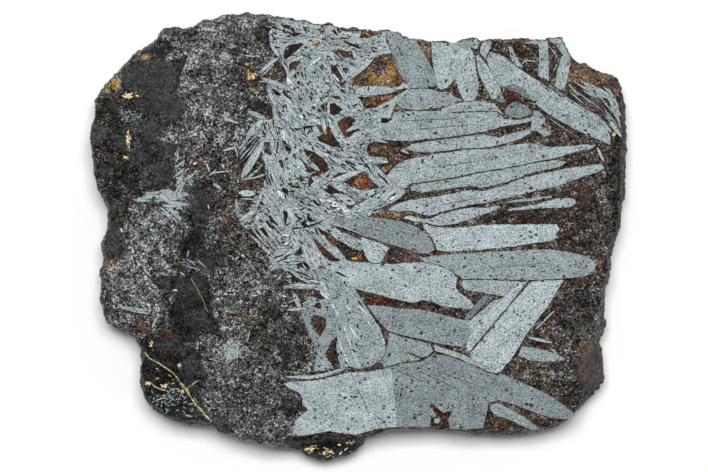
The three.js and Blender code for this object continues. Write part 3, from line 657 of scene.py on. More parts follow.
# Each blade's tone, from -2 for dark to 3 for bright, and its outline on the sheet.
BROAD_BLADES = {
    "vug_right": [-0.9, [385, 31], [397, 32], [403, 38], [416, 41], [424, 53], [433, 70], [438, 85],
        [425, 89], [409, 88], [400, 70], [392, 53], [388, 42]],
    "wedge_right": [1, [431, 42], [446, 43], [458, 43], [453, 57], [450, 66], [455, 79], [448, 87],
        [440, 90], [436, 84], [434, 70], [432, 56]],
    "top_bright": [1.4, [450, 62], [454, 53], [461, 48], [470, 47], [475, 56], [476, 70], [479, 83],
        [478, 93], [474, 101], [464, 101], [460, 92], [456, 82], [452, 72]],
    "top_lean": [1, [476, 56], [479, 55], [484, 61], [492, 73], [500, 87], [501, 92], [497, 98],
        [492, 100], [484, 85], [478, 72]],
    "top_cap": [0, [458, 43], [468, 40], [477, 38.5], [479, 46], [476, 49], [470, 47], [461, 48],
        [454, 52]],
    "top_nub": [1, [481, 47], [483, 43], [487, 41], [492, 42], [489, 51], [485, 59], [480, 53]],
    "long_diagonal": [0.6, [486, 60], [490, 52], [498, 54], [506, 58], [513, 64], [521, 69], [531, 76],
        [541, 82], [552, 89], [563, 95], [575, 102], [585, 109], [593, 117], [601, 121], [608, 129],
        [611, 138], [610, 145], [600, 140], [588, 135], [574, 129], [560, 121], [548, 114], [538, 106],
        [531, 99], [526, 90], [513, 84], [503, 88], [500, 86], [492, 73]],
    "half_moon_upper": [-2, [505, 88], [513, 84], [522, 87], [528, 92], [531, 100], [525, 98],
        [518, 93], [511, 91]],
    "half_moon_left": [-2, [501, 90], [497, 95], [496, 101], [502, 103], [506, 101], [503, 96]],
    "half_moon_lower": [-1.5, [505, 110], [508, 105], [514, 101.5], [521, 103], [528, 107], [532, 112],
        [528, 116], [520, 118], [510, 117], [505, 114]],
    "right_post": [0.6, [539, 43], [548, 43], [549, 62], [549, 81], [538, 76], [539, 60]],
    "top_right_bar": [0, [523, 43], [530, 41], [548, 40.5], [548, 44], [530, 44.5]],
    "corner_post": [0.3, [549, 41], [556, 38], [561, 39], [566, 48], [570, 57], [570, 64], [568, 76],
        [566, 84], [564, 89], [560, 90], [555, 86], [557, 72], [560, 60], [562, 54], [558, 48],
        [553, 43]],
    "bar_left": [0.8, [508, 46], [512, 47], [516, 57], [523, 67], [518, 67], [512, 61]],
    "fan_shoulder": [-0.3, [396, 103], [404, 94], [412, 89], [430, 89], [441, 92], [449, 92],
        [455, 97], [462, 101], [450, 105], [440, 108], [420, 110], [402, 109]],
    "fan_shelf": [0.2, [441, 109], [450, 105], [463, 101.5], [476, 101], [494, 103.5], [500, 109.5],
        [504, 116], [498, 111.5], [478, 111], [455, 112], [441, 113]],
    "fan_first": [0, [393, 113], [400, 111], [440, 111], [455, 113], [478, 112], [497, 112],
        [504, 119], [520, 120], [534, 116], [532, 121], [520, 124], [500, 127], [488, 131], [470, 134],
        [450, 137], [430, 139], [412, 141], [395, 141], [380, 139], [371, 135], [384, 125], [392, 119]],
    "fan_second": [0.5, [404, 149], [412, 144], [430, 141], [450, 138.5], [470, 136], [484, 134],
        [498, 138], [512, 133], [529, 129], [531, 133], [520, 139], [500, 145], [485, 148],
        [460, 148.5], [445, 151], [430, 152.5], [415, 152]],
    "knuckle": [0, [534, 110], [541, 112], [546, 120], [541, 126], [552, 134], [545, 137], [536, 131],
        [530, 131], [532, 121]],
    "fan_third": [0.6, [391, 172], [395, 166], [403, 161], [414, 158], [426, 156], [437, 153.5],
        [452, 152], [468, 149.5], [490, 149], [510, 145], [530, 143], [550, 147], [572, 146],
        [588, 144], [597, 145], [590, 149], [572, 153], [556, 158], [540, 161], [520, 165], [500, 169],
        [478, 172], [458, 177], [438, 180], [422, 182], [410, 184], [404, 189], [396, 187], [390, 180]],
    "fan_fourth": [0.3, [410, 187], [422, 183.5], [438, 181], [458, 178], [480, 173], [500, 170],
        [520, 166], [540, 162], [557, 160], [567, 162], [560, 167], [545, 170], [532, 173], [518, 178],
        [504, 183], [492, 186], [480, 188], [470, 186], [458, 187.5], [440, 190], [425, 192],
        [412, 191]],
    "fan_fifth": [0.8, [388, 208], [397, 204], [410, 200], [425, 198], [440, 196], [456, 192.5],
        [470, 190], [484, 191], [496, 187.5], [508, 184], [520, 179], [535, 175], [548, 172.5],
        [562, 169], [576, 167], [590, 165], [601, 164], [605, 168], [598, 172], [585, 176], [570, 182],
        [555, 187], [540, 190], [520, 195], [502, 199], [486, 203], [470, 205], [455, 208.5],
        [440, 212.5], [430, 216], [420, 214], [412, 211], [400, 211.5], [390, 211]],
    "fan_sixth": [1, [402, 218], [410, 215.5], [422, 219], [430, 218.5], [440, 214.5], [455, 210.5],
        [470, 207.5], [488, 207.5], [500, 205], [497, 209], [485, 214], [470, 219.5], [455, 224],
        [440, 226], [430, 224], [412, 221]],
    "fan_tongue": [1.2, [508, 209], [520, 207], [534, 204.5], [545, 201.5], [556, 198.5], [568, 198],
        [575, 199.5], [576, 204], [570, 207], [556, 208], [540, 208.5], [525, 209.5], [508, 211]],
    "fan_stripe": [0, [500, 203], [515, 200], [535, 197.5], [552, 195.5], [551, 198], [535, 200.5],
        [515, 202.5]],
    "fan_bright": [2, [422, 223], [436, 227], [455, 228], [472, 226], [490, 224.5], [520, 224.5],
        [545, 224], [556, 224], [560, 229], [556, 234], [559, 238], [550, 241], [535, 243], [518, 246],
        [500, 248], [480, 250], [460, 251], [445, 251.5], [437, 250], [434, 241], [429, 234],
        [424, 229]],
    "grey_lens": [-1.2, [330, 219], [340, 217], [352, 216], [366, 216.5], [380, 218], [395, 220],
        [407, 223], [418, 228], [427, 235], [433, 243], [435, 250], [428, 254], [419, 253], [408, 250],
        [396, 246], [382, 242], [368, 237], [356, 231], [342, 225]],
    "mid_lath": [0.8, [319, 222], [326, 221.5], [336, 228], [348, 235], [360, 241], [364, 248],
        [360, 250], [350, 246], [338, 239], [327, 231]],
    "lower_lath": [0.3, [313, 229], [319, 227], [326, 236], [335, 246], [345, 257], [343, 260],
        [335, 256], [326, 248], [318, 241], [312, 234]],
    "bright_block": [2.1, [361, 237], [370, 240], [381, 243], [389, 248], [385, 255], [381, 263],
        [371, 263], [366, 257], [363, 249]],
    "mid_long": [-0.3, [419, 258], [435, 255.5], [455, 254], [480, 252.5], [505, 251], [530, 249.5],
        [550, 249.5], [570, 252], [586, 256], [595, 262], [596, 268], [592, 274], [580, 277],
        [560, 279], [535, 280], [510, 280], [485, 279], [463, 279], [452, 271], [440, 265], [425, 262]],
    "mid_light": [1.3, [322, 264], [335, 261.5], [350, 262], [370, 263.5], [390, 264], [410, 262.5],
        [425, 262], [440, 266], [452, 271.5], [457, 278], [456, 288], [460, 293], [470, 300],
        [474, 306], [470, 309.5], [458, 308], [444, 307], [432, 302], [423, 300], [414, 303],
        [400, 301], [386, 297], [372, 293], [358, 290], [346, 284], [336, 277], [328, 270]],
    "under_long": [0.4, [463, 280], [490, 280], [512, 281], [520, 281], [512, 290], [505, 296.5],
        [495, 295], [482, 293], [465, 290], [461, 285]],
    "grey_wedge": [-1, [367, 305], [380, 305], [395, 308], [412, 309], [428, 311], [444, 315],
        [458, 319], [468, 320], [476, 322], [473, 332], [469, 341], [462, 347], [448, 345], [432, 342],
        [415, 338], [400, 334.5], [388, 331], [380, 323], [373, 314]],
    "strut": [-1.8, [465, 317], [473, 307], [482, 297], [490, 294], [488, 300], [480, 309], [471, 318],
        [466, 321]],
    "strut_shelf": [0.2, [468, 322], [480, 312], [492, 301], [505, 297], [500, 304], [488, 315],
        [478, 327], [470, 337]],
    "bright_narrow": [2, [519, 282], [527, 281.5], [518, 294], [508, 306], [498, 318], [486, 332],
        [475, 345], [468, 353], [466, 346], [468, 338], [474, 330], [483, 319], [493, 307], [505, 296]],
    "bright_broad": [1.9, [531, 282], [545, 280.5], [564, 280], [560, 286], [554, 297], [546, 309],
        [538, 319], [530, 330], [524, 338], [518, 349], [510, 361], [500, 372], [496, 374], [485, 368],
        [472, 361], [470, 353], [480, 342], [490, 330], [501, 316], [512, 303], [522, 292]],
    "bubble": [-0.6, [402, 337], [416, 340], [430, 344], [433, 351], [428, 356], [422, 357.5],
        [412, 353.5], [404, 350], [398, 344]],
    "bubble_shelf": [0, [433, 345], [445, 348.5], [462, 354], [480, 362], [495, 371], [491, 373],
        [478, 367], [462, 360], [446, 354], [435, 351]],
    "bubble_left": [-0.6, [389, 332.5], [395, 334.5], [402, 337], [404, 345], [408, 352.5],
        [404, 358.5], [400, 362.5], [392, 366], [384, 367.5], [381, 362], [386, 352], [388, 344]],
    "bubble_under": [-0.6, [405, 353], [412, 355.5], [421, 359], [410, 362], [399, 362]],
    "foot_fan": [-1.3, [385, 368], [405, 363.5], [422, 361], [434, 354], [450, 356.5], [470, 364],
        [488, 373], [505, 375], [518, 381], [532, 387], [545, 393], [557, 400], [568, 408], [575, 415],
        [568, 419], [556, 419], [545, 416], [530, 411], [515, 405], [498, 400], [489, 403], [487, 412],
        [483, 428], [465, 429.5], [450, 428.5], [448, 420], [452, 411], [447, 412], [443, 413],
        [437, 408], [431, 402], [430, 406], [434, 411], [437, 416], [431, 418], [430, 427],
        [420, 427], [392, 427], [390, 412],
        [387, 395], [385, 380]],
    "foot_island": [-0.5, [434, 418.5], [439, 418], [441, 421], [438, 424], [434, 422.5]],
    "foot_ray": [-0.5, [490, 405], [498, 403], [512, 410], [524, 417], [535, 425], [540, 430],
        [532, 430], [522, 426], [510, 420], [500, 417], [492, 413]],
    "foot_light": [1.2, [284, 384], [290, 382], [310, 381], [325, 378.5], [340, 374.5], [350, 372],
        [360, 372], [374, 370.5], [386, 368.5], [392, 369], [393, 380], [395, 395], [396, 412], [397, 427],
        [380, 428.5], [368, 431.5], [357, 434.5], [345, 434], [330, 431], [315, 434], [300, 436],
        [292, 434], [293, 426], [296, 420], [301, 415], [308, 410], [302, 404], [303, 398], [298, 392],
        [290, 389]],
    "foot_cream": [1.5, [286, 376], [300, 375.5], [312, 375.5], [325, 373], [340, 368.5], [349, 368.5],
        [340, 372], [325, 377], [312, 379], [300, 379], [288, 378]],
    "speckled_band": [-0.2, [316, 268], [330, 269], [345, 279], [356, 290], [365, 305], [372, 316],
        [380, 327], [383, 340], [387, 350], [382, 359], [372, 366], [358, 369], [347, 365], [340, 352],
        [338, 340], [335, 330], [331, 318], [330, 305], [325, 292], [319, 280]],
    "claw_top": [-1.1, [303, 309], [303, 303], [308, 299.5], [315, 298.5], [322, 300], [331, 305],
        [335, 312], [335, 319], [326, 319], [318, 315], [311, 317], [305, 313]],
    "claw_left": [-1.0, [299, 309], [305, 309.5], [310, 315], [311.5, 321], [313, 327], [316, 332.5],
        [319.5, 337], [322, 342], [321, 350], [318, 353], [315.5, 347], [312.5, 341], [309, 335],
        [307, 329], [304, 322], [302, 315]],
    "claw_right": [-0.8, [326, 318], [334, 317], [337, 325], [338, 335], [331, 342], [327.5, 349],
        [325, 354], [318, 353], [316.5, 347], [319.5, 337], [322.5, 333.5], [325, 328], [326, 322]],
    "claw_foot": [-0.4, [317.5, 352], [321, 351], [325.5, 356.5], [330.5, 362.5], [334, 369],
        [323, 371], [313, 371.5], [315, 362]],
    "claw_side": [-0.4, [338, 338], [347, 352], [352, 367], [340, 368], [338, 358], [336, 346]],
    "lens_low_right": [-0.3, [522, 346], [540, 349], [557, 354], [566, 360], [553, 362], [532, 361],
        [518, 356]],
    "felt_block": [1.0, [281, 156], [290, 154], [297, 159], [301, 167], [305, 176], [302, 181],
        [290, 184], [280, 190], [273, 189], [278, 176], [280, 165]],
}


def ragged_outline(outline, rag, seed):
    """The outline with points added along its sides and moved a little, as a worn edge runs."""
    made = []
    for (r0, d0), (r1, d1) in zip(outline, outline[1:] + outline[:1]):
        count = max(1, round(math.hypot(r1 - r0, d1 - d0) / EDGE_STEP))
        for index in range(count):
            share = index / count
            right, down = r0 + share * (r1 - r0), d0 + share * (d1 - d0)
            wobble = noise.noise_vector(Vector((right * EDGE_SCALE, down * EDGE_SCALE, seed)))
            made.append((right + rag * wobble.x, down + rag * wobble.y))
    return made


def own_layer(layers, name):
    """The layer of this name, made where the mesh has none."""
    return layers.get(name) or layers.new(name)


def add_plates(mesh, shapes, depth, rim_width=RIM_WIDTH, rim_drop=RIM_DROP):
    """Adds a closed plate for each outline, rise over the face and tone, with its edges worn down.

    Each plate has its tone, a rim value of 1 on its edges, and a grain that runs along it."""
    number = own_layer(mesh.verts.layers.int, "number")
    tones = own_layer(mesh.verts.layers.float, "tone")
    rims = own_layer(mesh.verts.layers.float, "rim")
    grain = own_layer(mesh.loops.layers.uv, "grain")
    bases = []
    lays = []
    for index, (outline, rise, tone) in enumerate(shapes):
        ring = [mesh.verts.new(on_face(right, down, rise - depth)) for right, down in outline]
        for vertex in ring:
            vertex[number], vertex[tones], vertex[rims] = index, tone_level(tone), 1.0
        bases.append(mesh.faces.new(ring))
        spots = np.array([vertex.co.xy for vertex in ring]) / MM
        middle = spots.mean(axis=0)
        lays.append((middle, np.linalg.eigh((spots - middle).T @ (spots - middle))[1][:, ::-1]))
    made = bmesh.ops.extrude_face_region(mesh, geom=bases)["geom"]
    tops = [item for item in made if isinstance(item, bmesh.types.BMFace)]
    edge = [item for item in made if isinstance(item, bmesh.types.BMVert)]
    bmesh.ops.translate(mesh, verts=edge, vec=(0, 0, depth - rim_drop))
    bmesh.ops.inset_individual(mesh, faces=tops, thickness=rim_width, depth=0)
    for face in tops:
        for vertex in face.verts:
            vertex[rims] = 0.0
            vertex.co.z += rim_drop
    fresh = {face for vertex in {vertex for face in bases + tops for vertex in face.verts}
             for face in vertex.link_faces}
    for face in fresh:
        for loop in face.loops:
            index = loop.vert[number]
            middle, turn = lays[index]
            loop[grain].uv = (np.array(loop.vert.co.xy) / MM - middle) @ turn + GRAIN_SHIFT * index


def tone_level(tone):
    """A tone of -2 (dark) to 3 (bright) as the level that the blade material reads."""
    return 0.5 + 0.17 * tone


def closed(mesh):
    """Turns every face of a mesh of closed plates outwards."""
    bmesh.ops.recalc_face_normals(mesh, faces=mesh.faces)
    return mesh


blade_finish = blade_material("polished_hematite")
broad = bmesh.new()
add_plates(broad, [(ragged_outline(outline, EDGE_RAG, seed), BLADE_RISE + seed * BLADE_STEP, tone)
                   for seed, (tone, *outline) in enumerate(BROAD_BLADES.values())], BLADE_DEPTH)
broad_blades = finished(closed(broad), "broad_blades", blade_finish)
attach(broad_blades, "root")

# The felt: slender hematite blades that grew across each other so closely that they cut as one mat,
# with dark matrix in the gaps between them. The mat is the slab's own face, pierced by the hollows
# of the CAD solid. Its blades are long pointed plates, each a hair above those that it crosses.

# The mat's thickness, its rise over the face and its tone, and how far its cutter stands over it.
# Then the laths' thickness, the rise of the lowest, the rise from layer to layer, and their rims.
MAT_DEPTH = 0.4 * MM
MAT_RISE = 0.02 * MM
MAT_TONE = 1.0
CUTTER_RISE = 1.0 * MM
LATH_DEPTH = 0.6 * MM
LATH_RISE = 0.08 * MM
LAYER = 0.003 * MM
LATH_RIM = 0.07 * MM

# How much a random lath turns from its neighbour, and how many neighbours it may follow.
LATH_TURN = 0.25
NEIGHBOURS = 3

# The felt's border on the sheet.
FELT = [
    [270, 18.5], [300, 21], [312, 24.5], [322, 26], [330, 25.5], [345, 31.5], [360, 31.5], [386, 32],
    [386, 42], [392, 53], [402, 74], [410, 88], [404, 96], [396, 103], [392, 113], [388, 122],
    [371, 135], [384, 141], [404, 149], [414, 158], [403, 161], [395, 166], [391, 172], [390, 180],
    [396, 187], [408, 191], [400, 198], [388, 208], [367, 216.5], [340, 217], [330, 219], [342, 225],
    [368, 237], [362, 238], [366, 257], [370, 263.5], [335, 261.5], [318, 267], [320, 281],
    [326, 293], [331, 303], [322, 303], [312, 301], [301, 304], [297, 306], [295, 300], [292, 292],
    [290, 283], [290, 275], [284, 270], [271, 265], [274, 259], [266, 250], [258, 242], [250, 232],
    [243, 226], [239, 219], [247, 213], [253, 208], [256, 202], [259, 196], [262, 188], [264, 178],
    [266, 170], [262, 160], [263, 150], [264, 141], [258, 136], [247, 140], [252, 130], [262, 120],
    [272, 119], [275, 116], [272, 104], [269, 95], [267, 88], [262, 78], [268, 79], [277, 82],
    [286, 84], [287, 75], [284, 66], [279, 58], [276, 52], [270, 42], [269, 32], [273, 27],
]

# Where each lath starts and ends on the sheet, its greatest width in steps, and its tone.
LATHS = [
    (279, 57, 260, 72, 4, 0.6), (262, 78, 293, 91, 5, 0.5), (247, 111, 266, 119, 5, -0.5),
    (263, 119, 246, 141, 9, 0.5), (264, 140, 241, 179, 8, 0.9), (258, 137, 239, 161, 2, 0.0),
    (260, 139, 240, 167, 1.7, -0.4), (262, 140, 246, 164, 1.5, 0.2), (256, 135, 239, 154, 1.5, 0.1),
    (249, 138, 238, 150, 2, 0.2), (241, 180, 268, 174, 3, 0.2), (238, 193, 256, 193.5, 6.5, 0.9),
    (240, 198.5, 256, 199.5, 1.5, 0.3), (268, 175, 256, 208, 4, 0.3), (262, 155, 275, 176, 4, 0.4),
    (266, 176, 273, 190, 2, 0.0), (270, 175, 277, 188, 2, 0.4), (271, 139, 276, 161, 5, 0.3),
    (281, 141, 275, 161, 2.5, 0.7), (285, 146, 279, 158, 2, 0.2), (277, 190, 287, 202, 5, 2.6),
    (288, 191, 299, 202, 3, 0.2), (299, 155, 320, 171, 5, 0.6), (312, 139, 363, 165, 4.5, 0.9),
    (316, 150, 359, 171, 4, 0.8), (324, 157, 335, 176, 3, 0.2), (320, 187, 362, 170, 6, 1.3),
    (308, 188, 334, 168, 3.5, 0.4), (329, 182, 353, 193, 7, 0.7), (333, 194, 356, 204, 8, 1.2),
    (318, 199, 351, 212, 8.5, 3.0), (350, 213, 400, 187, 9, 0.7), (362, 157, 393, 188, 8, 0.3),
    (366, 160, 389, 162, 4, 1.0), (325, 113, 343, 148, 5, 0.9), (321, 121, 326, 135, 2.5, 0.2),
    (330, 97, 352, 113, 5, 0.2), (328.5, 100, 328.5, 118, 2.5, 0.6), (318, 104, 330, 97, 4, 0.3),
    (336, 64, 347, 83, 2.5, 0.4), (350, 79, 374, 58, 4, 0.9), (349, 77, 347, 93, 4.5, 0.5),
    (349, 91, 397, 90, 9.5, 0.4), (350, 94, 363, 111, 9, 0.2), (329, 56, 352, 67, 4, 0.5),
    (337, 52, 346, 61, 1.5, 0.1), (300, 59, 332, 40, 3.5, 0.6), (287, 63, 313, 52, 3, 0.5),
    (279, 58, 286, 40, 3, 0.3), (281, 59, 291, 78, 2.5, 0.6), (270, 42, 279, 57, 4, 0.4),
    (296, 72, 301, 61, 2, 0.3), (339, 44, 363, 52, 4, 0.3), (344, 39.5, 361, 46, 2, 0.3),
    (245, 228, 263, 248, 2, 0.3), (250, 227, 269, 248, 2, 0.2), (255, 226, 274, 247, 2.5, 0.4),
    (262, 227, 281, 246, 3.5, 0.6), (261, 246, 277, 259, 4, 0.2), (270, 264, 300, 247, 4.5, 0.5),
    (266, 240, 286, 241, 2, 0.0), (274, 242, 293, 230, 3, 0.3), (271, 264.5, 301, 257, 3, 0.4),
    (279, 265, 320, 288, 4, 0.2), (276, 264, 301, 262.5, 2.5, 0.3), (301, 238, 310, 268, 3, 1.3),
    (302, 261, 308, 271, 3, 0.8), (299, 229, 319, 251, 5, 0.9), (309, 227, 327, 247, 4, 0.3),
    (289, 284.5, 318, 286, 3.2, 0.7), (293, 292, 301, 310, 5, -0.2), (300, 304, 317, 298, 2.5, 0.6),
    (300, 304, 311, 295, 1.3, 0), (286, 310, 311, 308.5, 3.2, 0.2), (316, 227, 331, 248, 4, 0.2),
    (308, 271, 331, 291, 4, 0.8), (319, 291, 331, 301, 3, 2.2), (299, 267, 321, 281, 4, 0.2),
    (268, 207, 285, 229, 7, 0.8), (287, 205, 296, 229, 6, 0.5), (293, 214, 319, 200, 4, 0.4),
    (299, 207, 319, 219, 5, 0.4), (255, 214, 273, 233, 5, 0.3), (261, 221, 283, 239, 5, 0.9),
    (239, 221, 257, 210, 5, 0.1), (317, 200, 346, 217, 4, 0.1), (299, 194, 326, 215, 4, 0.2),
    (289, 197, 323, 212, 5, 0.3), (284, 184, 296, 156, 9, 0.8), (296, 157, 308, 181, 8, 0.9),
    (283, 182, 309, 182, 4, 0.5), (263, 164, 248, 178, 3, 0.3), (273, 105, 282, 140, 6, 0.4),
    (268, 88, 277, 108, 5, 0.4), (283, 100, 300, 122, 5, 0.5), (300, 100, 322, 118, 5, 0.4),
    (305, 70, 322, 98, 5, 0.5), (322, 66, 330, 92, 6, 0.6), (331, 84, 345, 100, 5, 0.4),
    (290, 92, 301, 116, 4, 0.2), (310, 90, 300, 126, 5, 0.5), (288, 120, 312, 142, 6, 0.6),
    (276, 120, 290, 140, 5, 0.4), (318, 50, 345, 46, 4, 0.2), (312, 60, 330, 80, 4, 0.3),
    (350, 46, 366, 58, 5, 0.3), (362, 38, 384, 50, 7, 0.8), (296, 32, 318, 36, 5, 0.3),
    (272, 34, 296, 38, 6, 0.2), (282, 21, 300, 30, 4, 0.1), (280, 28, 290, 36, 2.5, 0.6),
    (276, 62, 262, 76, 2, 0.0), (345, 132, 384, 112, 6, 0.3), (346, 140, 372, 128, 5, 0.2),
    (352, 124, 372, 117, 5, 0.5), (340, 150, 366, 160, 4, 0.3), (330, 148, 352, 158, 4, 0.7),
    (376, 176, 392, 190, 4, 0.5), (358, 196, 380, 190, 6, 0.5), (356, 212, 372, 206, 5, 0.2),
    (330, 214, 352, 214, 4, 0.0), (597, 147, 604, 162, 3, 0.8), (518, 59, 538, 62, 1.5, 0.8),
    (521, 65, 528, 58, 1.2, 1.0), (525, 57, 527, 65, 1, 1.0), (550, 47, 558, 58, 1.2, 1.0),
    (560, 57, 553, 73, 1.2, 1.0), (555, 50, 556, 60, 1, 0.8), (576, 83, 604, 99, 3.5, 0.6),
    (582, 90, 598, 98, 2, 0.2), (572, 80, 590, 92, 1.5, 0.8), (593, 112, 618, 132, 1.2, 1.2),
    (590, 108, 614, 130, 0.8, 0.8), (600, 114, 620, 128, 0.8, 1.0), (607, 92, 617, 110, 4, 0.2),
    (610, 104, 619, 122, 2.5, 0.0), (584, 84, 604, 92, 1.6, 0.4), (588, 88, 608, 104, 1.2, 0.8),
    (578, 92, 592, 104, 1.4, 0.3), (586, 97, 606, 114, 0.9, 1.0), (599, 96, 616, 116, 1.2, 0.4),
    (604, 108, 616, 128, 1.4, 0.8), (608, 112, 620, 130, 1.0, 1.2), (612, 96, 619, 108, 1.8, 0.2),
    (568, 84, 580, 96, 2.2, 0.4), (570, 92, 584, 104, 1.4, 0.2), (514, 56, 522, 60, 1.0, 0.6),
    (540, 84, 552, 92, 1.2, 0.6), (553, 88, 570, 99, 1.0, 0.8), (546, 116, 578, 138, 1, 1.0),
    (555, 310, 535, 330, 2, 1.0), (527, 337, 553, 343, 3, 0.8), (585, 110, 606, 125, 5, 0.3),
    (583, 82, 611, 99, 6, 0.3), (592, 87, 610, 96, 5, 0.1), (606, 115, 622, 138, 4, 0.5),
    (600, 119, 612, 133, 3, 0.6), (612, 100, 621, 116, 3, 0.2), (603, 86, 616, 98, 2.2, 1.2),
    (608, 88, 619, 107, 2.6, 0.8), (612, 93, 620, 117, 2.6, 1.4), (614, 100, 620.5, 129, 2.2, 0.9),
    # The last three laths, at tone 3, are painted glints: white highlights on crystals of the felt.
    (606, 95, 618, 113, 2.0, 0.4), (297, 113, 304, 119, 3, 3), (287, 77, 293, 89, 5, 3),
    (269, 124, 272, 130, 1.5, 3),
]

# The bright streaks along the speckled band, each a run of short laths between these places.
STREAKS = [
    [[323, 290], [331, 302], [340, 318], [347, 335], [352, 350], [360, 368]],
    [[346, 305], [351, 311]], [[357, 304], [369, 316]], [[367, 320], [371, 326]],
    [[349, 325], [358, 339]], [[338, 340], [349, 365]], [[381, 333], [385, 345]], [[320, 280], [330, 297]],
]


def lath_outline(start_right, start_down, end_right, end_down, width):
    """A slender pointed outline, widest in the middle, between two places on the sheet."""
    along = Vector((end_right - start_right, end_down - start_down))
    across = Vector((-along.y, along.x)).normalized() * width / 2
    shares = (0.1, 0.3, 0.55, 0.8, 0.93)
    widths = (0.5, 0.92, 1.0, 0.8, 0.4)
    start = Vector((start_right, start_down))
    near = [start + along * share + across * reach for share, reach in zip(shares, widths)]
    far = [start + along * share - across * reach for share, reach in zip(shares, widths)]
    points = [start, *near, start + along, *reversed(far)]
    return [(point.x, point.y) for point in points]


# How many laths lie over each half step of the sheet, by rows down it.
lath_layers = np.zeros((2 * SHEET_SIZE[1], 2 * SHEET_SIZE[0]), int)


def next_layer(outline):
    """The layer over every lath that an outline overlaps; it is taken for this one."""
    corners = np.array(outline) * 2
    low = np.floor(corners.min(axis=0)).astype(int)
    high = np.ceil(corners.max(axis=0)).astype(int) + 1
    right, down = np.meshgrid(np.arange(low[0], high[0]), np.arange(low[1], high[1]))
    places = np.stack([right.ravel(), down.ravel()], axis=1) / 2
    covered = inside(places, outline).reshape(right.shape)
    under = lath_layers[low[1]:high[1], low[0]:high[0]]
    layer = 1 + int(under[covered].max(initial=0))
    under[covered] = layer
    return layer


def lath_shapes(laths, seam):
    """Each lath's outline, rise and tone, and a wider dark seam that lies just under each.

    Every lath lies over all the laths that are there already. Seam is the widest seam in steps."""
    shapes, seams = [], []
    for index, (*ends, width, tone) in enumerate(laths):
        start, end = Vector(ends[:2]), Vector(ends[2:])
        spare = seam * (0.25 + 0.75 * abs(math.sin(7 * index)))
        beyond = (end - start).normalized() * spare
        margin = lath_outline(*(start - beyond), *(end + beyond), width + spare)
        rise = LATH_RISE + next_layer(margin) * LAYER
        shapes.append((lath_outline(*ends, width), rise, tone))
        seams.append((margin, rise - LAYER / 2, 0))
    return shapes, seams


def wedge_shapes(wedges, tone):
    """Angular dark wedges, wide at one end, over all that is there already."""
    shapes = []
    for start_right, start_down, end_right, end_down, width in wedges:
        start = Vector((start_right, start_down))
        along = Vector((end_right - start_right, end_down - start_down))
        across = Vector((-along.y, along.x)).normalized() * width / 2
        points = [start - across, start + across * 0.7, start + along * 0.55 + across * 0.9, start + along,
                  start + along * 0.4 - across]
        outline = [(point.x, point.y) for point in points]
        shapes.append((outline, LATH_RISE + next_layer(outline) * LAYER, tone))
    return shapes


slab_tree = BVHTree.FromBMesh(merged_slab())


@functools.cache
def is_hollow(right, down):
    """Whether the CAD solid is cut away here, under the level of the polished face."""
    hit = point_under(slab_tree, right, down)
    return hit is None or hit.z < FACE - GROUND_DEPTH


sheet_rights, sheet_downs = np.meshgrid(np.arange(SHEET_SIZE[0]), np.arange(SHEET_SIZE[1]))
in_felt = inside(np.stack([sheet_rights.ravel(), sheet_downs.ravel()], axis=1), FELT)
in_felt = in_felt.reshape(sheet_rights.shape)


def scattered_laths(count, seed, lengths, widths, tones, over_hollows=0, within=(7, 7)):
    """Random laths in the felt, run much as the nearest listed ones do.

    Of seven places along each, over_hollows may be over hollows and within are inside the border."""
    chance = random.Random(seed)
    rights, downs = zip(*FELT)
    middles = np.array([((r0 + r1) / 2, (d0 + d1) / 2) for r0, d0, r1, d1, *_ in LATHS])
    found = []
    while len(found) < count:
        middle = np.array((chance.uniform(min(rights), max(rights)), chance.uniform(min(downs), max(downs))))
        near = np.argsort(((middles - middle) ** 2).sum(axis=1))[chance.randrange(NEIGHBOURS)]
        r0, d0, r1, d1, *_ = LATHS[near]
        angle = math.atan2(d1 - d0, r1 - r0) + chance.gauss(0, LATH_TURN)
        reach = np.array((math.cos(angle), math.sin(angle))) * chance.uniform(*lengths) / 2
        width = chance.uniform(*widths)
        tone = chance.uniform(*tones)
        spine = np.rint(middle + np.outer((-0.9, -0.6, -0.3, 0, 0.3, 0.6, 0.9), reach)).astype(int)
        if not within[0] <= in_felt[spine[:, 1], spine[:, 0]].sum() <= within[1]:
            continue
        if sum(is_hollow(*place) for place in spine.tolist()) <= over_hollows:
            found.append((*(middle - reach), *(middle + reach), width, tone))
    return found


def build_mat():
    """Cuts the felted part of the face out of the CAD solid, hollows and all."""
    block = bmesh.new()
    add_plates(block, [(FELT, CUTTER_RISE, 0.0)], MAT_DEPTH + CUTTER_RISE, 0.0, 0.0)
    cutter = finished(closed(block), "mat_cutter")
    mat = finished(merged_slab(), "felt_mat", blade_finish)
    cut = mat.modifiers.new("cut", "BOOLEAN")
    cut.operation = "INTERSECT"
    cut.solver = "EXACT"
    cut.object = cutter
    applied(mat)
    bpy.data.objects.remove(cutter)
    shaped = bmesh.new()
    shaped.from_mesh(mat.data)
    bmesh.ops.translate(shaped, verts=shaped.verts, vec=(0, 0, MAT_RISE))
    grain = own_layer(shaped.loops.layers.uv, "grain")
    tones = own_layer(shaped.verts.layers.float, "tone")
    for vertex in shaped.verts:
        vertex[tones] = tone_level(MAT_TONE)
        for loop in vertex.link_loops:
            loop[grain].uv = vertex.co.xy / MM
    shaped.to_mesh(mat.data)
    shaped.free()
    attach(mat, "root")


build_mat()

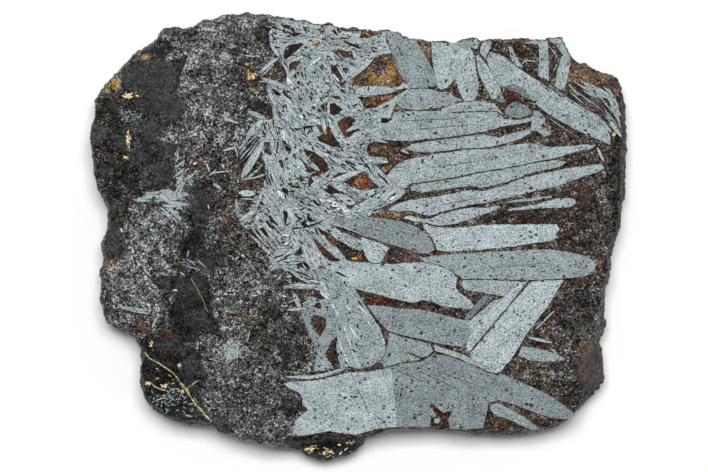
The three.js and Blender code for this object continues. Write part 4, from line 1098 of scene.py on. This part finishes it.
# The matrix in the small gaps of the felt, ground flush with the blades around it. Each is a thin
# dark wedge of magnetite and iron oxide: its two ends and its greatest width on the sheet.
GAPS = [
    (292, 130.5, 304, 128, 1.8), (303, 128, 316, 125.5, 2), (284, 27, 292, 26, 2.5),
    (272, 27, 279, 29, 2), (282, 30, 288, 34, 1.6), (292, 34, 300, 35.5, 2), (285, 25, 290, 30, 1.8),
    (291, 28, 296, 33, 2.2), (287, 32, 293, 34, 1.4), (281, 24, 285, 28, 1.2), (296, 34, 303, 33, 1.5),
    (305, 30, 307, 36, 0.8), (273, 39, 277, 39.5, 2), (275, 47, 281, 46.5, 2.5), (330, 38, 336, 40, 1),
    (340, 38.5, 352, 38, 1.2), (347, 36, 352, 37, 1), (333, 30, 338, 36, 2), (337, 29, 341, 33, 1.5),
    (343, 42, 357, 45, 1.2), (301, 54.5, 309, 57, 1), (309, 57, 314, 60, 0.8), (315, 62, 318, 66, 1),
    (327, 56, 331, 57, 0.8), (360, 57, 367, 55, 1), (364, 49, 368, 52, 1), (280, 55, 283, 62, 1),
    (284, 62, 289, 69, 1.2), (297, 72, 300, 76, 1.5), (301, 72, 304, 79, 1.5), (298, 81, 300, 86, 2),
    (301, 83, 303, 87, 1.2), (294, 75, 296, 80, 1), (305, 74, 306, 80, 0.8), (307, 83, 309, 86, 1.5),
    (314, 71, 315.5, 75, 1.5), (304, 68, 306, 72, 0.8), (265, 83, 268, 86, 1.5),
    (272, 89, 278, 92, 1.2), (275, 92, 281, 96, 2), (283, 91, 287, 96, 2), (284, 94, 291, 99, 1.8),
    (287, 91, 291, 93, 1), (289, 97, 294, 103, 1), (299, 95, 300, 100, 0.8), (303, 93, 304, 97, 0.8),
    (311, 92, 313, 96, 1.5), (315, 93, 318, 95, 1), (327, 92, 329, 95, 1.2), (322, 97, 325, 99, 1),
    (340, 89.5, 347, 90.5, 0.8), (343, 91, 347, 95, 1), (278, 103, 283, 106, 1.2),
    (282, 106, 284, 109, 1.2), (286, 104, 287, 109, 0.8), (279, 112, 282, 115, 1),
    (303, 114, 306, 119, 1.5), (300, 108, 301, 112, 0.8), (307, 112, 310, 118, 1),
    (312, 107, 315, 110, 1.5), (318, 109, 322, 112, 1.5), (314, 104, 318, 105, 0.8),
    (292, 129, 299, 128.5, 1.4), (303, 128, 314, 125.5, 1.6), (316, 118, 322, 118, 1.2),
    (264, 124, 267, 132, 1.2), (268, 123, 270, 131, 0.8), (272, 122, 275, 130, 0.8),
    (270, 131, 276, 142, 0.8), (275, 126, 279, 138, 0.8), (262, 130, 266, 138, 1.2),
    (248, 141, 256, 133, 1.2), (246, 147, 258, 136, 1.2), (243, 153, 259, 138, 1),
    (241, 160, 256, 143, 1), (240, 166, 252, 152, 1.2), (278, 127, 281, 139, 0.8),
    (278, 142, 277, 153, 1.2), (294, 155, 298, 152, 0.8), (300, 149, 302, 153, 1),
    (280, 160, 284, 169, 2.4), (285, 147, 291, 151, 2.4), (283, 141, 288, 145, 1.4),
    (264, 175, 269, 186, 1.2), (267, 175, 272, 188, 1.2), (270, 174, 274, 184, 0.8),
    (274, 153, 277, 158, 0.8), (251, 172, 262, 166, 1.2), (252, 177, 264, 173, 1),
    (262, 172, 268, 170, 0.8), (299, 178, 306, 181, 1.5), (302, 183, 306, 185, 1),
    (296, 183, 302, 183, 1.2), (288, 184, 296, 187, 1), (291, 186.5, 302, 187.5, 1.6),
    (282, 188, 288, 193, 2), (286, 192, 289, 196, 1.2), (284, 193, 287, 202, 1),
    (290, 193, 298, 201, 0.8), (295, 196, 300, 199, 1), (300, 201, 306, 205, 1.8),
    (298, 204, 302, 207, 1), (302, 196, 312, 199, 0.8), (306, 204, 318, 208, 0.8),
    (313, 200, 320, 207, 1.8), (317, 198, 324, 208, 0.8), (260, 202, 265, 206, 2),
    (262, 195, 265, 198, 1.2), (258, 206, 262, 209, 1), (283, 212, 289, 214, 2),
    (286, 212, 286, 225, 2.0), (295, 214, 301, 221, 1.2), (298, 218, 303, 219, 1.8),
    (307, 217, 315, 222, 1.8), (301, 224, 308, 225, 2.5), (303, 221, 306, 226, 1.8),
    (258, 219, 264, 222, 1.8), (266, 221, 275, 231, 2.0), (269, 216, 277, 226, 2.0),
    (272, 226, 278, 231, 1.2), (252, 217, 258, 214, 1.2), (249, 224, 254, 219, 1),
    (261, 228, 270, 239, 2.8), (255, 229, 264, 240, 1.3), (249, 229, 260, 241, 1.8),
    (246, 229, 255, 238, 1.2), (292, 229, 302, 227, 1.2), (303, 228, 323, 221.5, 1.3),
    (306, 230, 312, 235, 1), (312, 232, 317, 235, 1), (318, 228, 324, 236, 1.5),
    (293, 231, 298, 237, 0.6), (308, 187, 318, 176, 1.2), (303, 177, 312, 179, 0.8),
    (327, 150, 334, 158, 0.8), (334, 155, 344, 159, 1), (345, 161, 358, 166, 1.6),
    (350, 166, 360, 172, 1.2), (328, 156, 338, 166, 0.8), (340, 166, 350, 172, 0.8),
    (360, 157, 366, 166, 1), (366, 164, 374, 176, 1), (378, 174, 386, 182, 1),
    (383, 178, 390, 186, 1.6), (371, 163, 376, 171, 0.8), (330, 144, 344, 148, 1),
    (316, 143, 326, 147, 0.8), (308, 152, 314, 160, 1), (352, 135, 362, 131, 0.8),
    (362, 146, 370, 142, 1), (330, 196, 340, 198, 0.8), (352, 206, 370, 197, 1),
    (370, 197, 382, 190, 0.8), (330, 209, 338, 214, 1.2), (338, 212, 346, 215, 1),
    (324, 209, 330, 216, 0.8), (381, 121, 391, 120, 4), (384, 130, 388, 137, 0.8),
    (260, 241, 264, 244, 1.2), (264, 245, 270, 250, 1), (268, 243, 274, 252, 1),
    (272, 241, 280, 252, 0.8), (276, 239, 282, 247, 1), (281, 237, 284, 243, 0.8),
    (270, 252, 275, 257, 1), (274, 258, 286, 254, 1.2), (284, 258, 292, 253, 1),
    (277, 262, 284, 259, 1.2), (285, 247, 290, 243, 0.8), (303, 262, 309, 269, 2.2),
    (288, 272, 298, 279, 1.6), (291, 279, 300, 281, 1.5), (300, 272, 312, 279, 1),
    (304, 277, 316, 285, 1.2), (314, 270, 317, 275, 1), (311, 274, 314, 278, 0.8),
    (316, 277, 320, 282, 0.8), (300, 303, 308, 299, 1.5), (321, 305, 313.5, 306.5, 4.5),
    (336, 272, 349, 278, 1.5), (323, 278, 329, 281, 1), (326, 285, 330, 290, 0.8),
    (344, 281, 346, 286, 1), (332, 299, 340, 296, 0.8), (346, 299, 350, 301, 0.8),
    (358, 301, 364, 308, 1.2),
]

# Broader shaded hollows under the laths, outlined on the sheet, and cracks across the broad blades.
SHADES = [
    [[283, 56], [287, 51], [295, 45], [302, 45], [299, 49], [291, 53], [286, 58]],
    [[333, 51], [341, 49], [349, 53], [353, 57], [344, 58], [337, 56]],
    [[329, 104], [335, 103], [342, 109], [339, 114], [331, 115]],
    [[315, 125], [325, 124.5], [335, 130], [331, 133], [321, 133]],
    [[269, 103], [274, 109], [275, 117], [271, 119], [267, 113]],
    [[344, 40], [353, 42], [361, 48], [355, 50], [347, 46]],
    [[293, 63], [300, 60], [299, 69], [295, 72]],
    [[306, 152], [319, 155], [324, 160], [332, 167], [325, 173], [315, 176], [310, 187], [308, 183],
     [312, 172], [309, 162]],
    [[323, 190], [331, 188], [341, 193], [345, 196], [331, 195]],
    [[320, 246], [330, 254], [341, 261], [329, 261], [321, 254]],
    [[295, 260], [305, 262], [311, 268], [303, 270], [297, 268]],
    [[262, 168], [268, 176], [266, 186], [261, 190], [259, 182]],
    [[330, 66], [336, 66], [341, 76], [342, 86], [337, 82], [332, 74]],
    [[297.5, 158], [301, 157], [304, 161], [308, 167], [311, 172], [308, 173], [303, 168], [299, 162]],
    [[316, 227], [321, 229], [328, 236], [336, 243], [334, 247], [327, 240], [320, 233]],
    [[313, 238], [318, 241], [322, 246], [327, 251], [322, 251], [316, 245]],
    [[296, 253], [301, 245], [303, 254]],
    [[317, 137], [327, 131], [338, 134], [341, 143], [330, 146], [320, 143]],
    [[341, 119], [350, 116], [357, 124], [353, 135], [345, 138], [340, 129]],
    [[304, 150], [314, 152], [326, 160], [334, 168], [328, 178], [318, 172], [310, 163]],
    [[326, 186], [335, 185], [343, 192], [336, 194]],
]
SHADE_TONE = 0.45
SHADE_RAG = 0.9
BLADE_CRACKS = [
    (351, 373, 358, 389, 0.8), (357, 388, 365, 403, 0.8), (364, 402, 370, 417, 0.8),
    (516, 66, 542, 83, 0.9), (540, 82, 568, 100, 0.8), (566, 99, 592, 115, 0.7),
    (397, 371, 440, 388, 0.6), (420, 372, 478, 398, 0.6), (440, 372, 500, 394, 0.6),
    (400, 121, 470, 118, 0.6), (420, 129, 480, 124, 0.6), (430, 168, 500, 158, 0.6),
    (440, 205, 500, 194, 0.6), (490, 268, 560, 262, 0.5),
]

# The gaps' thickness, how much wider they are than listed, their tone, the widest seam round a lath,
# how much brighter the listed laths are, where the fringe ends, and the streaks' width and tone.
GAP_DEPTH = 0.2 * MM
GAP_SPREAD = 1.5
GAP_TONE = -0.6
SEAM = 0.75
LISTED_LIFT = 0.85
FRINGE_RIGHT = 292
STREAK_WIDTH = 1.4
STREAK_TONE = 3


def gap_material():
    """The dark matrix between the blades: near black, with a little rust in it."""
    material, tree, shader = new_material("gap_matrix")
    place = node(tree, "ShaderNodeTexCoord").outputs["Object"]
    value = swayed(tree, attribute(tree, "tone"), (texture(tree, place, 1800, 3.0, 0.65), 2.2),
                   (texture(tree, place, 200), 1.1))
    colour = ramp(tree, value, (0.0, (14, 12, 11)), (1.0, (124, 86, 67)), (0.5, (38, 33, 30)),
                  (0.75, (78, 56, 47)))
    tree.links.new(colour, shader.inputs["Base Color"])
    shader.inputs["Roughness"].default_value = 0.7
    shader.inputs["Specular IOR Level"].default_value = 0.25
    return material


laths = bmesh.new()
gaps = bmesh.new()
under = scattered_laths(110, seed=4, lengths=(10, 26), widths=(3.0, 7.0), tones=(-0.4, 1.5))
fringe = scattered_laths(170, seed=8, lengths=(6, 14), widths=(1.2, 3.2), tones=(-0.6, 1.2),
                         over_hollows=1, within=(3, 5))
fringe = [lath for lath in fringe if lath[0] < FRINGE_RIGHT]
over = scattered_laths(90, seed=5, lengths=(5, 15), widths=(1.0, 3.0), tones=(0.2, 3.0))
needles = scattered_laths(50, seed=6, lengths=(6, 14), widths=(0.5, 0.9), tones=(0.6, 3.0),
                          over_hollows=3)
streaks = [(*start, *end, STREAK_WIDTH, STREAK_TONE)
           for route in STREAKS for start, end in zip(route, route[1:])]
listed = [(*lath[:5], lath[5] + LISTED_LIFT) for lath in LATHS]
slivers = scattered_laths(460, seed=7, lengths=(2.0, 7.0), widths=(0.6, 1.8), tones=(0, 0))
wedges = [(*ends, GAP_SPREAD * width) for *ends, width in GAPS] + [sliver[:5] for sliver in slivers]
low_shapes, low_seams = lath_shapes(under + fringe, SEAM)
shades = [(outline, LATH_RISE + next_layer(outline) * LAYER, SHADE_TONE)
          for outline in (ragged_outline(corners, SHADE_RAG, seed) for seed, corners in enumerate(SHADES))]
shapes, seams = lath_shapes(listed, SEAM)
add_plates(laths, low_shapes + shapes, LATH_DEPTH, LATH_RIM, LAYER / 2)
add_plates(gaps, low_seams + shades + seams + wedge_shapes(wedges, GAP_TONE), GAP_DEPTH, LAYER / 2, LAYER / 2)
shapes, seams = lath_shapes(over + needles + streaks, SEAM / 2)
add_plates(laths, shapes, LATH_DEPTH, LAYER / 2, LAYER / 2)
add_plates(gaps, seams + wedge_shapes(BLADE_CRACKS, GAP_TONE), GAP_DEPTH, LAYER / 2, LAYER / 2)
slender_laths = finished(closed(laths), "slender_laths", blade_finish)
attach(slender_laths, "root")
gap_matrix = finished(closed(gaps), "gap_matrix", gap_material())
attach(gap_matrix, "root")

# The sprays: bright crusts and tufts of hematite in the matrix to the left of the felt, flush with
# the ground face. A patch has an outline on the sheet. A tuft has a middle, a reach right and down,
# the angle that its laths turn around and by how much, their longest half, and their count.
SPRAY_PATCHES = [
    [0.4, [219, 57], [223, 53], [228, 53], [229, 57], [224, 60]],
]
SPRAY_LATHS = [
    (201, 28, 218, 31, 3, 0.6), (224, 122, 229, 112, 1.6, 1.2), (222, 122, 232, 118, 1.6, 1.2),
    (226, 118, 234, 121, 1.4, 1.2), (228, 120, 240, 124, 1.6, 1.2), (222, 151, 236, 147, 2.5, 1.0),
    (234, 143, 238, 158, 1.5, 0.8), (200, 131, 208, 142, 1.5, 0.8), (210, 173, 231, 171, 1.4, 1.6),
    (206, 162, 210, 173, 1.6, 1.2), (209, 176, 216, 170, 1.5, 1.2), (118, 307, 150, 311, 3, 0.8),
    (128, 310, 150, 314, 2, 1.2), (158, 314, 152, 328, 2.5, 0.8), (154, 320, 160, 316, 1.5, 1.0),
    (177, 149, 178, 160, 2, 1.0), (175, 168, 185, 160, 2, 0.8), (173, 178, 184, 168, 2, 0.6),
    (184, 182, 196, 172, 2, 0.6), (188, 180, 193, 187, 1.5, 0.8), (236, 198, 238, 218, 4, -0.6),
    (226, 137, 214, 144, 1.6, 0.9), (217, 133, 224, 144, 1.6, 0.9), (213, 139, 226, 139, 1.5, 1.2),
    (221, 131, 220, 147, 1.5, 0.9), (234, 131, 239, 140, 2, 1.0), (239, 130, 233, 140, 1.6, 1.0),
    (213, 183, 222, 190, 3, 0.3), (228, 48, 237, 46, 2, -0.2), (186, 258, 196, 266, 1.2, 1.0),
    (188, 266, 200, 270, 1.0, 1.0), (196, 258, 206, 268, 1.0, 0.8), (244, 55, 258, 57, 1.5, 0.4),
    (232, 422, 243, 414, 0.8, 0.6), (250, 330, 247, 343, 1.0, 0.6),
    (180, 272, 185, 276, 1.5, 1.2), (189, 250, 187, 257, 1.3, 1.4), (241, 255, 245, 257, 2.5, 2.4),
    (121, 228, 122, 232, 2, 2.6), (222, 163, 224, 169, 2, 2.2), (208, 204, 209, 209, 1.6, 2.0),
]
SPRAY_TUFTS = [
    (166, 196, 9, 2.5, 2, 12, 13, 20), (174, 203, 5, 2, 8, 16, 9, 8), (152, 199, 7, 1.4, -4, 8, 10, 6),
    (176, 214, 4, 3, 38, 16, 7, 11), (164, 212, 4, 1.5, 30, 14, 6, 6), (145, 221, 3, 1.5, -25, 20, 5, 7),
    (180, 182, 1.5, 6, -72, 10, 8, 11), (186, 172, 3, 4, -50, 25, 6, 6), (232, 351, 6.5, 5.5, 0, 90, 3, 170),
    (226, 55, 3, 2, 0, 60, 3, 9), (156, 231, 3, 2, 60, 30, 3, 6),
    (168, 136, 3, 3, 0, 90, 2.5, 18), (220, 139, 4, 4, 0, 90, 3, 8), (130, 116, 7, 3.5, -15, 60, 1.8, 70),
    (192, 56, 3, 3, 0, 90, 3, 15), (205, 46, 3, 3, 0, 90, 3, 15), (172, 395, 6, 4, 20, 60, 3, 36),
    (194, 264, 5, 2.5, 35, 25, 2.6, 14), (236, 257, 2, 2, 0, 90, 3, 6), (134, 290, 10, 10, 0, 90, 3, 30),
    (112, 322, 3, 3, 0, 90, 3, 8), (180, 30, 2, 2, 0, 90, 3, 4), (168, 404, 12, 6, -20, 60, 3, 36),
    (238, 135, 3, 3, 0, 90, 3, 8), (156, 244, 7, 7, 0, 90, 3, 22), (204, 20, 6, 3, 0, 90, 3, 8),
    (138, 230, 5, 5, 0, 90, 3, 10), (216, 118, 5, 6, 0, 90, 3, 18), (255, 270, 8, 5, 0, 90, 3, 10),
    (101, 156, 8, 5, -30, 60, 1.5, 22), (109, 118, 8, 5, 0, 90, 1.3, 10), (145, 122, 4, 3, 0, 90, 1.3, 7),
    (142, 176, 9, 6, 40, 50, 1.6, 14), (118, 187, 8, 5, 0, 90, 1.3, 10), (137, 135, 4, 6, 60, 30, 1.3, 9),
]

# How far the border of a patch wanders, in steps, and how wide the laths of a tuft are for their
# length.
SPRAY_SEED = 11
SPRAY_RAG = 2.2
TUFT_WIDTH = 0.33


def is_ground(start_right, start_down, end_right, end_down):
    """Whether the stone is ground flat under both ends of a lath."""
    ends = ((start_right, start_down), (end_right, end_down))
    hits = [point_under(stone_tree, *end) for end in ends]
    return all(hit is not None and hit.z > FACE - LATH_DEPTH / 2 for hit in hits)


spray_chance = random.Random(SPRAY_SEED)
sprays = bmesh.new()
add_plates(sprays, [(ragged_outline(outline, SPRAY_RAG, seed), BLADE_RISE, tone)
                    for seed, (tone, *outline) in enumerate(SPRAY_PATCHES)], LATH_DEPTH, LATH_RIM, LAYER)
tufts = []
for right, down, reach, fall, turn, spread, longest, count in SPRAY_TUFTS:
    for _ in range(count):
        angle = math.radians(turn + spray_chance.uniform(-spread, spread))
        length = spray_chance.uniform(0.4, 1.0) * longest
        at_right = right + spray_chance.gauss(0, reach)
        at_down = down + spray_chance.gauss(0, fall)
        half_right, half_down = length * math.cos(angle), length * math.sin(angle)
        width = spray_chance.uniform(0.7, 1.2) * TUFT_WIDTH * longest ** 0.9
        tone = spray_chance.uniform(-0.3, 1.8)
        tufts.append((at_right - half_right, at_down - half_down, at_right + half_right,
                      at_down + half_down, width, tone))
shapes, _ = lath_shapes([lath for lath in SPRAY_LATHS + tufts if is_ground(*lath[:4])], 0)
add_plates(sprays, shapes, LATH_DEPTH, LAYER / 2, LAYER / 2)
silver_sprays = finished(closed(sprays), "silver_sprays", blade_finish)
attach(silver_sprays, "root")

# The veins: thin yellowish seams of a softer mineral that branch over the black foot at the left,
# and lie on the broken stone. Each is a route on the sheet with its width in steps.
VEINS = [
    (1.1, [144, 351], [149, 358], [158, 363], [166, 368], [173, 373], [178, 379], [183, 386]),
    (1.7, [181, 383], [186, 390], [191, 397], [196, 405], [202, 411], [207, 417], [212, 422]),
    (2.6, [182, 384], [187, 390], [190, 394]),
    (1.0, [149, 381], [154, 386], [160, 389], [168, 391]),
    (1.0, [161, 388], [170, 383]), (1.0, [182, 410], [186, 415], [193, 417]),
    (0.8, [187, 388], [196, 382], [201, 380]), (0.4, [190, 277], [196, 287], [203, 300], [208, 312]),
    (1.0, [193, 397], [199, 404]), (1.2, [152, 402], [160, 399], [166, 398]),
]

# A ribbon has a ring at each VEIN_STEP, moved up to VEIN_WANDER steps, and its width varies by
# VEIN_UNEVEN; VEIN_SCALE is how quickly both change along it.
VEIN_STEP = 1.2
VEIN_SCALE = 0.4
VEIN_WANDER = 0.7
VEIN_UNEVEN = 0.9
VEIN_RISE = 0.05 * MM
VEIN_DEPTH = 0.3 * MM


def vein_material():
    """Dull yellow mineral, paler and browner by turns."""
    material, tree, shader = new_material("yellow_vein")
    place = node(tree, "ShaderNodeTexCoord").outputs["Object"]
    value = swayed(tree, 0.55, (texture(tree, place, 1300, 4.0, 0.65), 3.0))
    colour = ramp(tree, value, (0.0, (74, 68, 46)), (1.0, (222, 214, 172)), (0.5, (164, 154, 106)))
    tree.links.new(colour, shader.inputs["Base Color"])
    shader.inputs["Roughness"].default_value = 0.7
    return material


def add_vein(mesh, width, route):
    """Adds a closed ribbon of uneven width that follows the stone under its route."""
    spots = []
    for start, end in zip(route, route[1:]):
        steps = max(1, round(math.dist(start, end) / VEIN_STEP))
        spots += [Vector(start).lerp(Vector(end), index / steps) for index in range(steps)]
    spots.append(Vector(route[-1]))
    rings = []
    for index, spot in enumerate(spots):
        along = spots[min(index + 1, len(spots) - 1)] - spots[max(index - 1, 0)]
        wobble = noise.noise_vector(Vector((spot.x * VEIN_SCALE, spot.y * VEIN_SCALE, width)))
        spot = spot + VEIN_WANDER * wobble.xy
        taper = min(1, 0.35 + 0.3 * min(index, len(spots) - 1 - index))
        half = width / 2 * taper * (1 + VEIN_UNEVEN * wobble.z)
        across = Vector((-along.y, along.x)).normalized() * half
        sides = [spot + across, spot - across]
        levels = [point_under(stone_tree, *side) for side in sides]
        if None in levels:
            break
        low = min(levels[0].z, levels[1].z) - VEIN_DEPTH
        tops = [level + Vector((0, 0, VEIN_RISE)) for level in levels]
        feet = [Vector((*level.xy, low)) for level in levels]
        rings.append([mesh.verts.new(corner) for corner in (feet[0], tops[0], tops[1], feet[1])])
    for ring, after in zip(rings, rings[1:]):
        for corner in range(4):
            following = (corner + 1) % 4
            mesh.faces.new((ring[corner], ring[following], after[following], after[corner]))
    mesh.faces.new(rings[0])
    mesh.faces.new(reversed(rings[-1]))


# Dark cracks and deep seams in the matrix, drawn the same way: a width, then a route.
CRACKS = [
    (2.2, [187, 54], [183, 66], [178, 78], [176, 92]), (1.6, [151, 52], [160, 53], [170, 52]),
    (1.6, [126, 131], [131, 141], [131, 150]), (1.8, [113, 146], [127, 152], [138, 155]),
    (2.4, [184, 228], [182, 247], [180, 264], [177, 281], [170, 291], [166, 301]),
    (3.0, [192, 249], [203, 255], [213, 260]), (0.8, [172, 308], [180, 310], [188, 309]),
    (1.4, [165, 313], [162, 325], [166, 336]), (1.2, [198, 330], [200, 350], [199, 369]),
    (3.0, [288, 353], [286, 361], [284, 370]), (1.8, [208, 420], [221, 429], [229, 436]),
    (1.2, [118, 104], [132, 108], [142, 114]), (1.6, [104, 120], [112, 124], [124, 124]),
    (1.0, [232, 70], [238, 84], [236, 98]), (1.2, [140, 268], [150, 278], [160, 288]),
    (1.2, [250, 300], [262, 312], [266, 326]), (1.0, [222, 372], [230, 392], [240, 404]),
    (1.4, [258, 118], [250, 124], [246, 134]), (1.0, [130, 250], [136, 262], [134, 276]),
]


def crack_material():
    """The shade in a crack of the matrix, near black."""
    material, tree, shader = new_material("crack_shade")
    place = node(tree, "ShaderNodeTexCoord").outputs["Object"]
    value = swayed(tree, 0.4, (texture(tree, place, 1800, 3.0, 0.65), 2.0))
    tree.links.new(ramp(tree, value, (0.0, (10, 10, 10)), (1.0, (66, 62, 58))), shader.inputs["Base Color"])
    shader.inputs["Roughness"].default_value = 0.9
    return material


def ribbons(routes, name, material):
    """One piece of all the ribbons in a list, each a width and a route."""
    mesh = bmesh.new()
    for width, *route in routes:
        add_vein(mesh, width, route)
    return finished(closed(mesh), name, material)


dark_cracks = ribbons(CRACKS, "dark_cracks", crack_material())
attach(dark_cracks, "root")
yellow_veins = ribbons(VEINS, "yellow_veins", vein_material())
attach(yellow_veins, "root")

# The gold-coloured flakes: chips of ochre iron oxide that line small pits in the matrix. A group has
# its middle, reach right and down, turn, count, and how bright it is, from below 0 for brown to 1
# for cream.
FLAKE_GROUPS = [
    (145, 57, 4, 1.6, 10, 14, 0.4), (109, 84, 6, 4, -40, 34, 0.3), (129, 95.5, 5.5, 2, 10, 24, 0.9),
    (251, 76, 3.5, 3, -20, 24, 0.6), (128, 138, 1.8, 4.5, 80, 22, 0.8), (129, 146, 0.8, 2.5, 80, 6, 0.4),
    (125, 157, 2, 1, 20, 7, 0.6), (104, 114, 5, 10, 60, 7, 0.1), (250, 64, 3, 1, 0, 5, 0.3),
    (315, 43, 3, 1.6, 0, 14, 0.6), (323, 33, 3, 2, 0, 9, 0.5), (174, 290, 0.7, 0.7, 0, 3, 0.7),
    (140, 324, 4, 2, 30, 10, 0.3), (135, 334, 3, 1, 0, 6, 0.5), (152, 343, 1.4, 2, 60, 9, 0.7),
    (179, 365, 1.3, 1.3, 40, 5, 0.7), (158, 379, 1, 1, 0, 2, 0.8), (147, 383, 3.4, 1.2, 10, 12, 0.8),
    (165, 386, 2.6, 1.1, -30, 10, 0.9), (181, 392, 2, 1.5, 0, 8, 0.6), (309, 450, 4, 3.5, 0, 24, 0.9),
    (326, 454, 5, 4, 0, 22, 0.8), (350, 443, 4, 2, 0, 14, 0.8), (237, 318, 10, 1, 0, 10, 0.1),
    (364, 33, 6, 1.5, 5, 9, 0.5), (614, 136, 2, 4, 80, 9, 0.7), (340, 452, 12, 5, 0, 16, 1.0),
    (580, 315, 2, 1, 0, 4, -0.1), (523, 47, 2, 2, 0, 5, 0.4), (592, 84, 8, 3, 25, 20, 0.1),
    (338, 106, 3, 2, 0, 5, 0.2), (330, 238, 2, 4, 40, 6, 0.5), (357, 257, 4, 2, 20, 7, 0.3),
    (111, 173, 0.8, 3, 80, 4, -0.25), (155, 375, 18, 14, 0, 5, 0.5), (195, 163, 0.5, 0.5, 0, 2, 0.9),
]
FLAKE_DEPTH = 0.2 * MM
FLAKE_RISE = 0.04 * MM
FLAKE_SEED = 3

# A chip isn't laid over a taller step than this. Then how closely a group gathers round its middle,
# how much its chips turn, in degrees, and how many corners a chip has.
FLAKE_STEP = 1.5 * MM
FLAKE_GATHER = 1.6
FLAKE_TURN = 35
FLAKE_CORNERS = 6


def flake_material():
    """Ochre iron oxide: brown in the shade, deep gold, and cream where a chip shines."""
    material, tree, shader = new_material("gold_flakes")
    place = node(tree, "ShaderNodeTexCoord").outputs["Object"]
    value = swayed(tree, attribute(tree, "tone"), (texture(tree, place, 1800, 3.0, 0.65), 1.0))
    colour = ramp(tree, value, (0.0, (58, 40, 26)), (1.0, (252, 240, 204)), (0.35, (128, 94, 54)),
                  (0.6, (186, 148, 88)), (0.8, (226, 196, 138)))
    tree.links.new(colour, shader.inputs["Base Color"])
    shader.inputs["Roughness"].default_value = 0.5
    return material


def top_level(right, down):
    """The highest point of the stone and of the laths under a place on the sheet, or None."""
    hits = [point_under(surface, right, down) for surface in (stone_tree, lath_tree)]
    return max((hit.z for hit in hits if hit is not None), default=None)


lath_tree = BVHTree.FromObject(slender_laths, bpy.context.evaluated_depsgraph_get())
flake_chance = random.Random(FLAKE_SEED)
flakes = bmesh.new()
flake_tones = flakes.verts.layers.float.new("tone")
for right, down, reach, fall, turn, count, bright in FLAKE_GROUPS:
    for _ in range(count):
        middle = Vector((right + flake_chance.gauss(0, reach / FLAKE_GATHER),
                         down + flake_chance.gauss(0, fall / FLAKE_GATHER)))
        angle = math.radians(turn + flake_chance.gauss(0, FLAKE_TURN))
        length = flake_chance.uniform(0.8, 2.7)
        width = flake_chance.uniform(0.45, 1.1)
        bends = sorted(flake_chance.uniform(0, math.tau) for _ in range(FLAKE_CORNERS))
        outline = []
        for bend in bends:
            spot = Vector((length * math.cos(bend), width * math.sin(bend)))
            spot.rotate(Matrix.Rotation(angle, 2))
            outline.append(middle + spot)
        levels = [top_level(*spot) for spot in outline]
        if None in levels or max(levels) - min(levels) > FLAKE_STEP:
            continue
        tone = min(1.1, max(0, flake_chance.gauss(0.25 + 0.75 * bright, 0.2)))
        feet = [flakes.verts.new((*on_face(*spot).xy, min(levels) - FLAKE_DEPTH)) for spot in outline]
        tops = [flakes.verts.new((*on_face(*spot).xy, level + FLAKE_RISE))
                for spot, level in zip(outline, levels)]
        for vertex in feet + tops:
            vertex[flake_tones] = tone
        flakes.faces.new(feet)
        flakes.faces.new(tops)
        for index in range(FLAKE_CORNERS):
            after = (index + 1) % FLAKE_CORNERS
            flakes.faces.new((feet[index], feet[after], tops[after], tops[index]))
gold_flakes = finished(closed(flakes), "gold_flakes", flake_material())
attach(gold_flakes, "root")
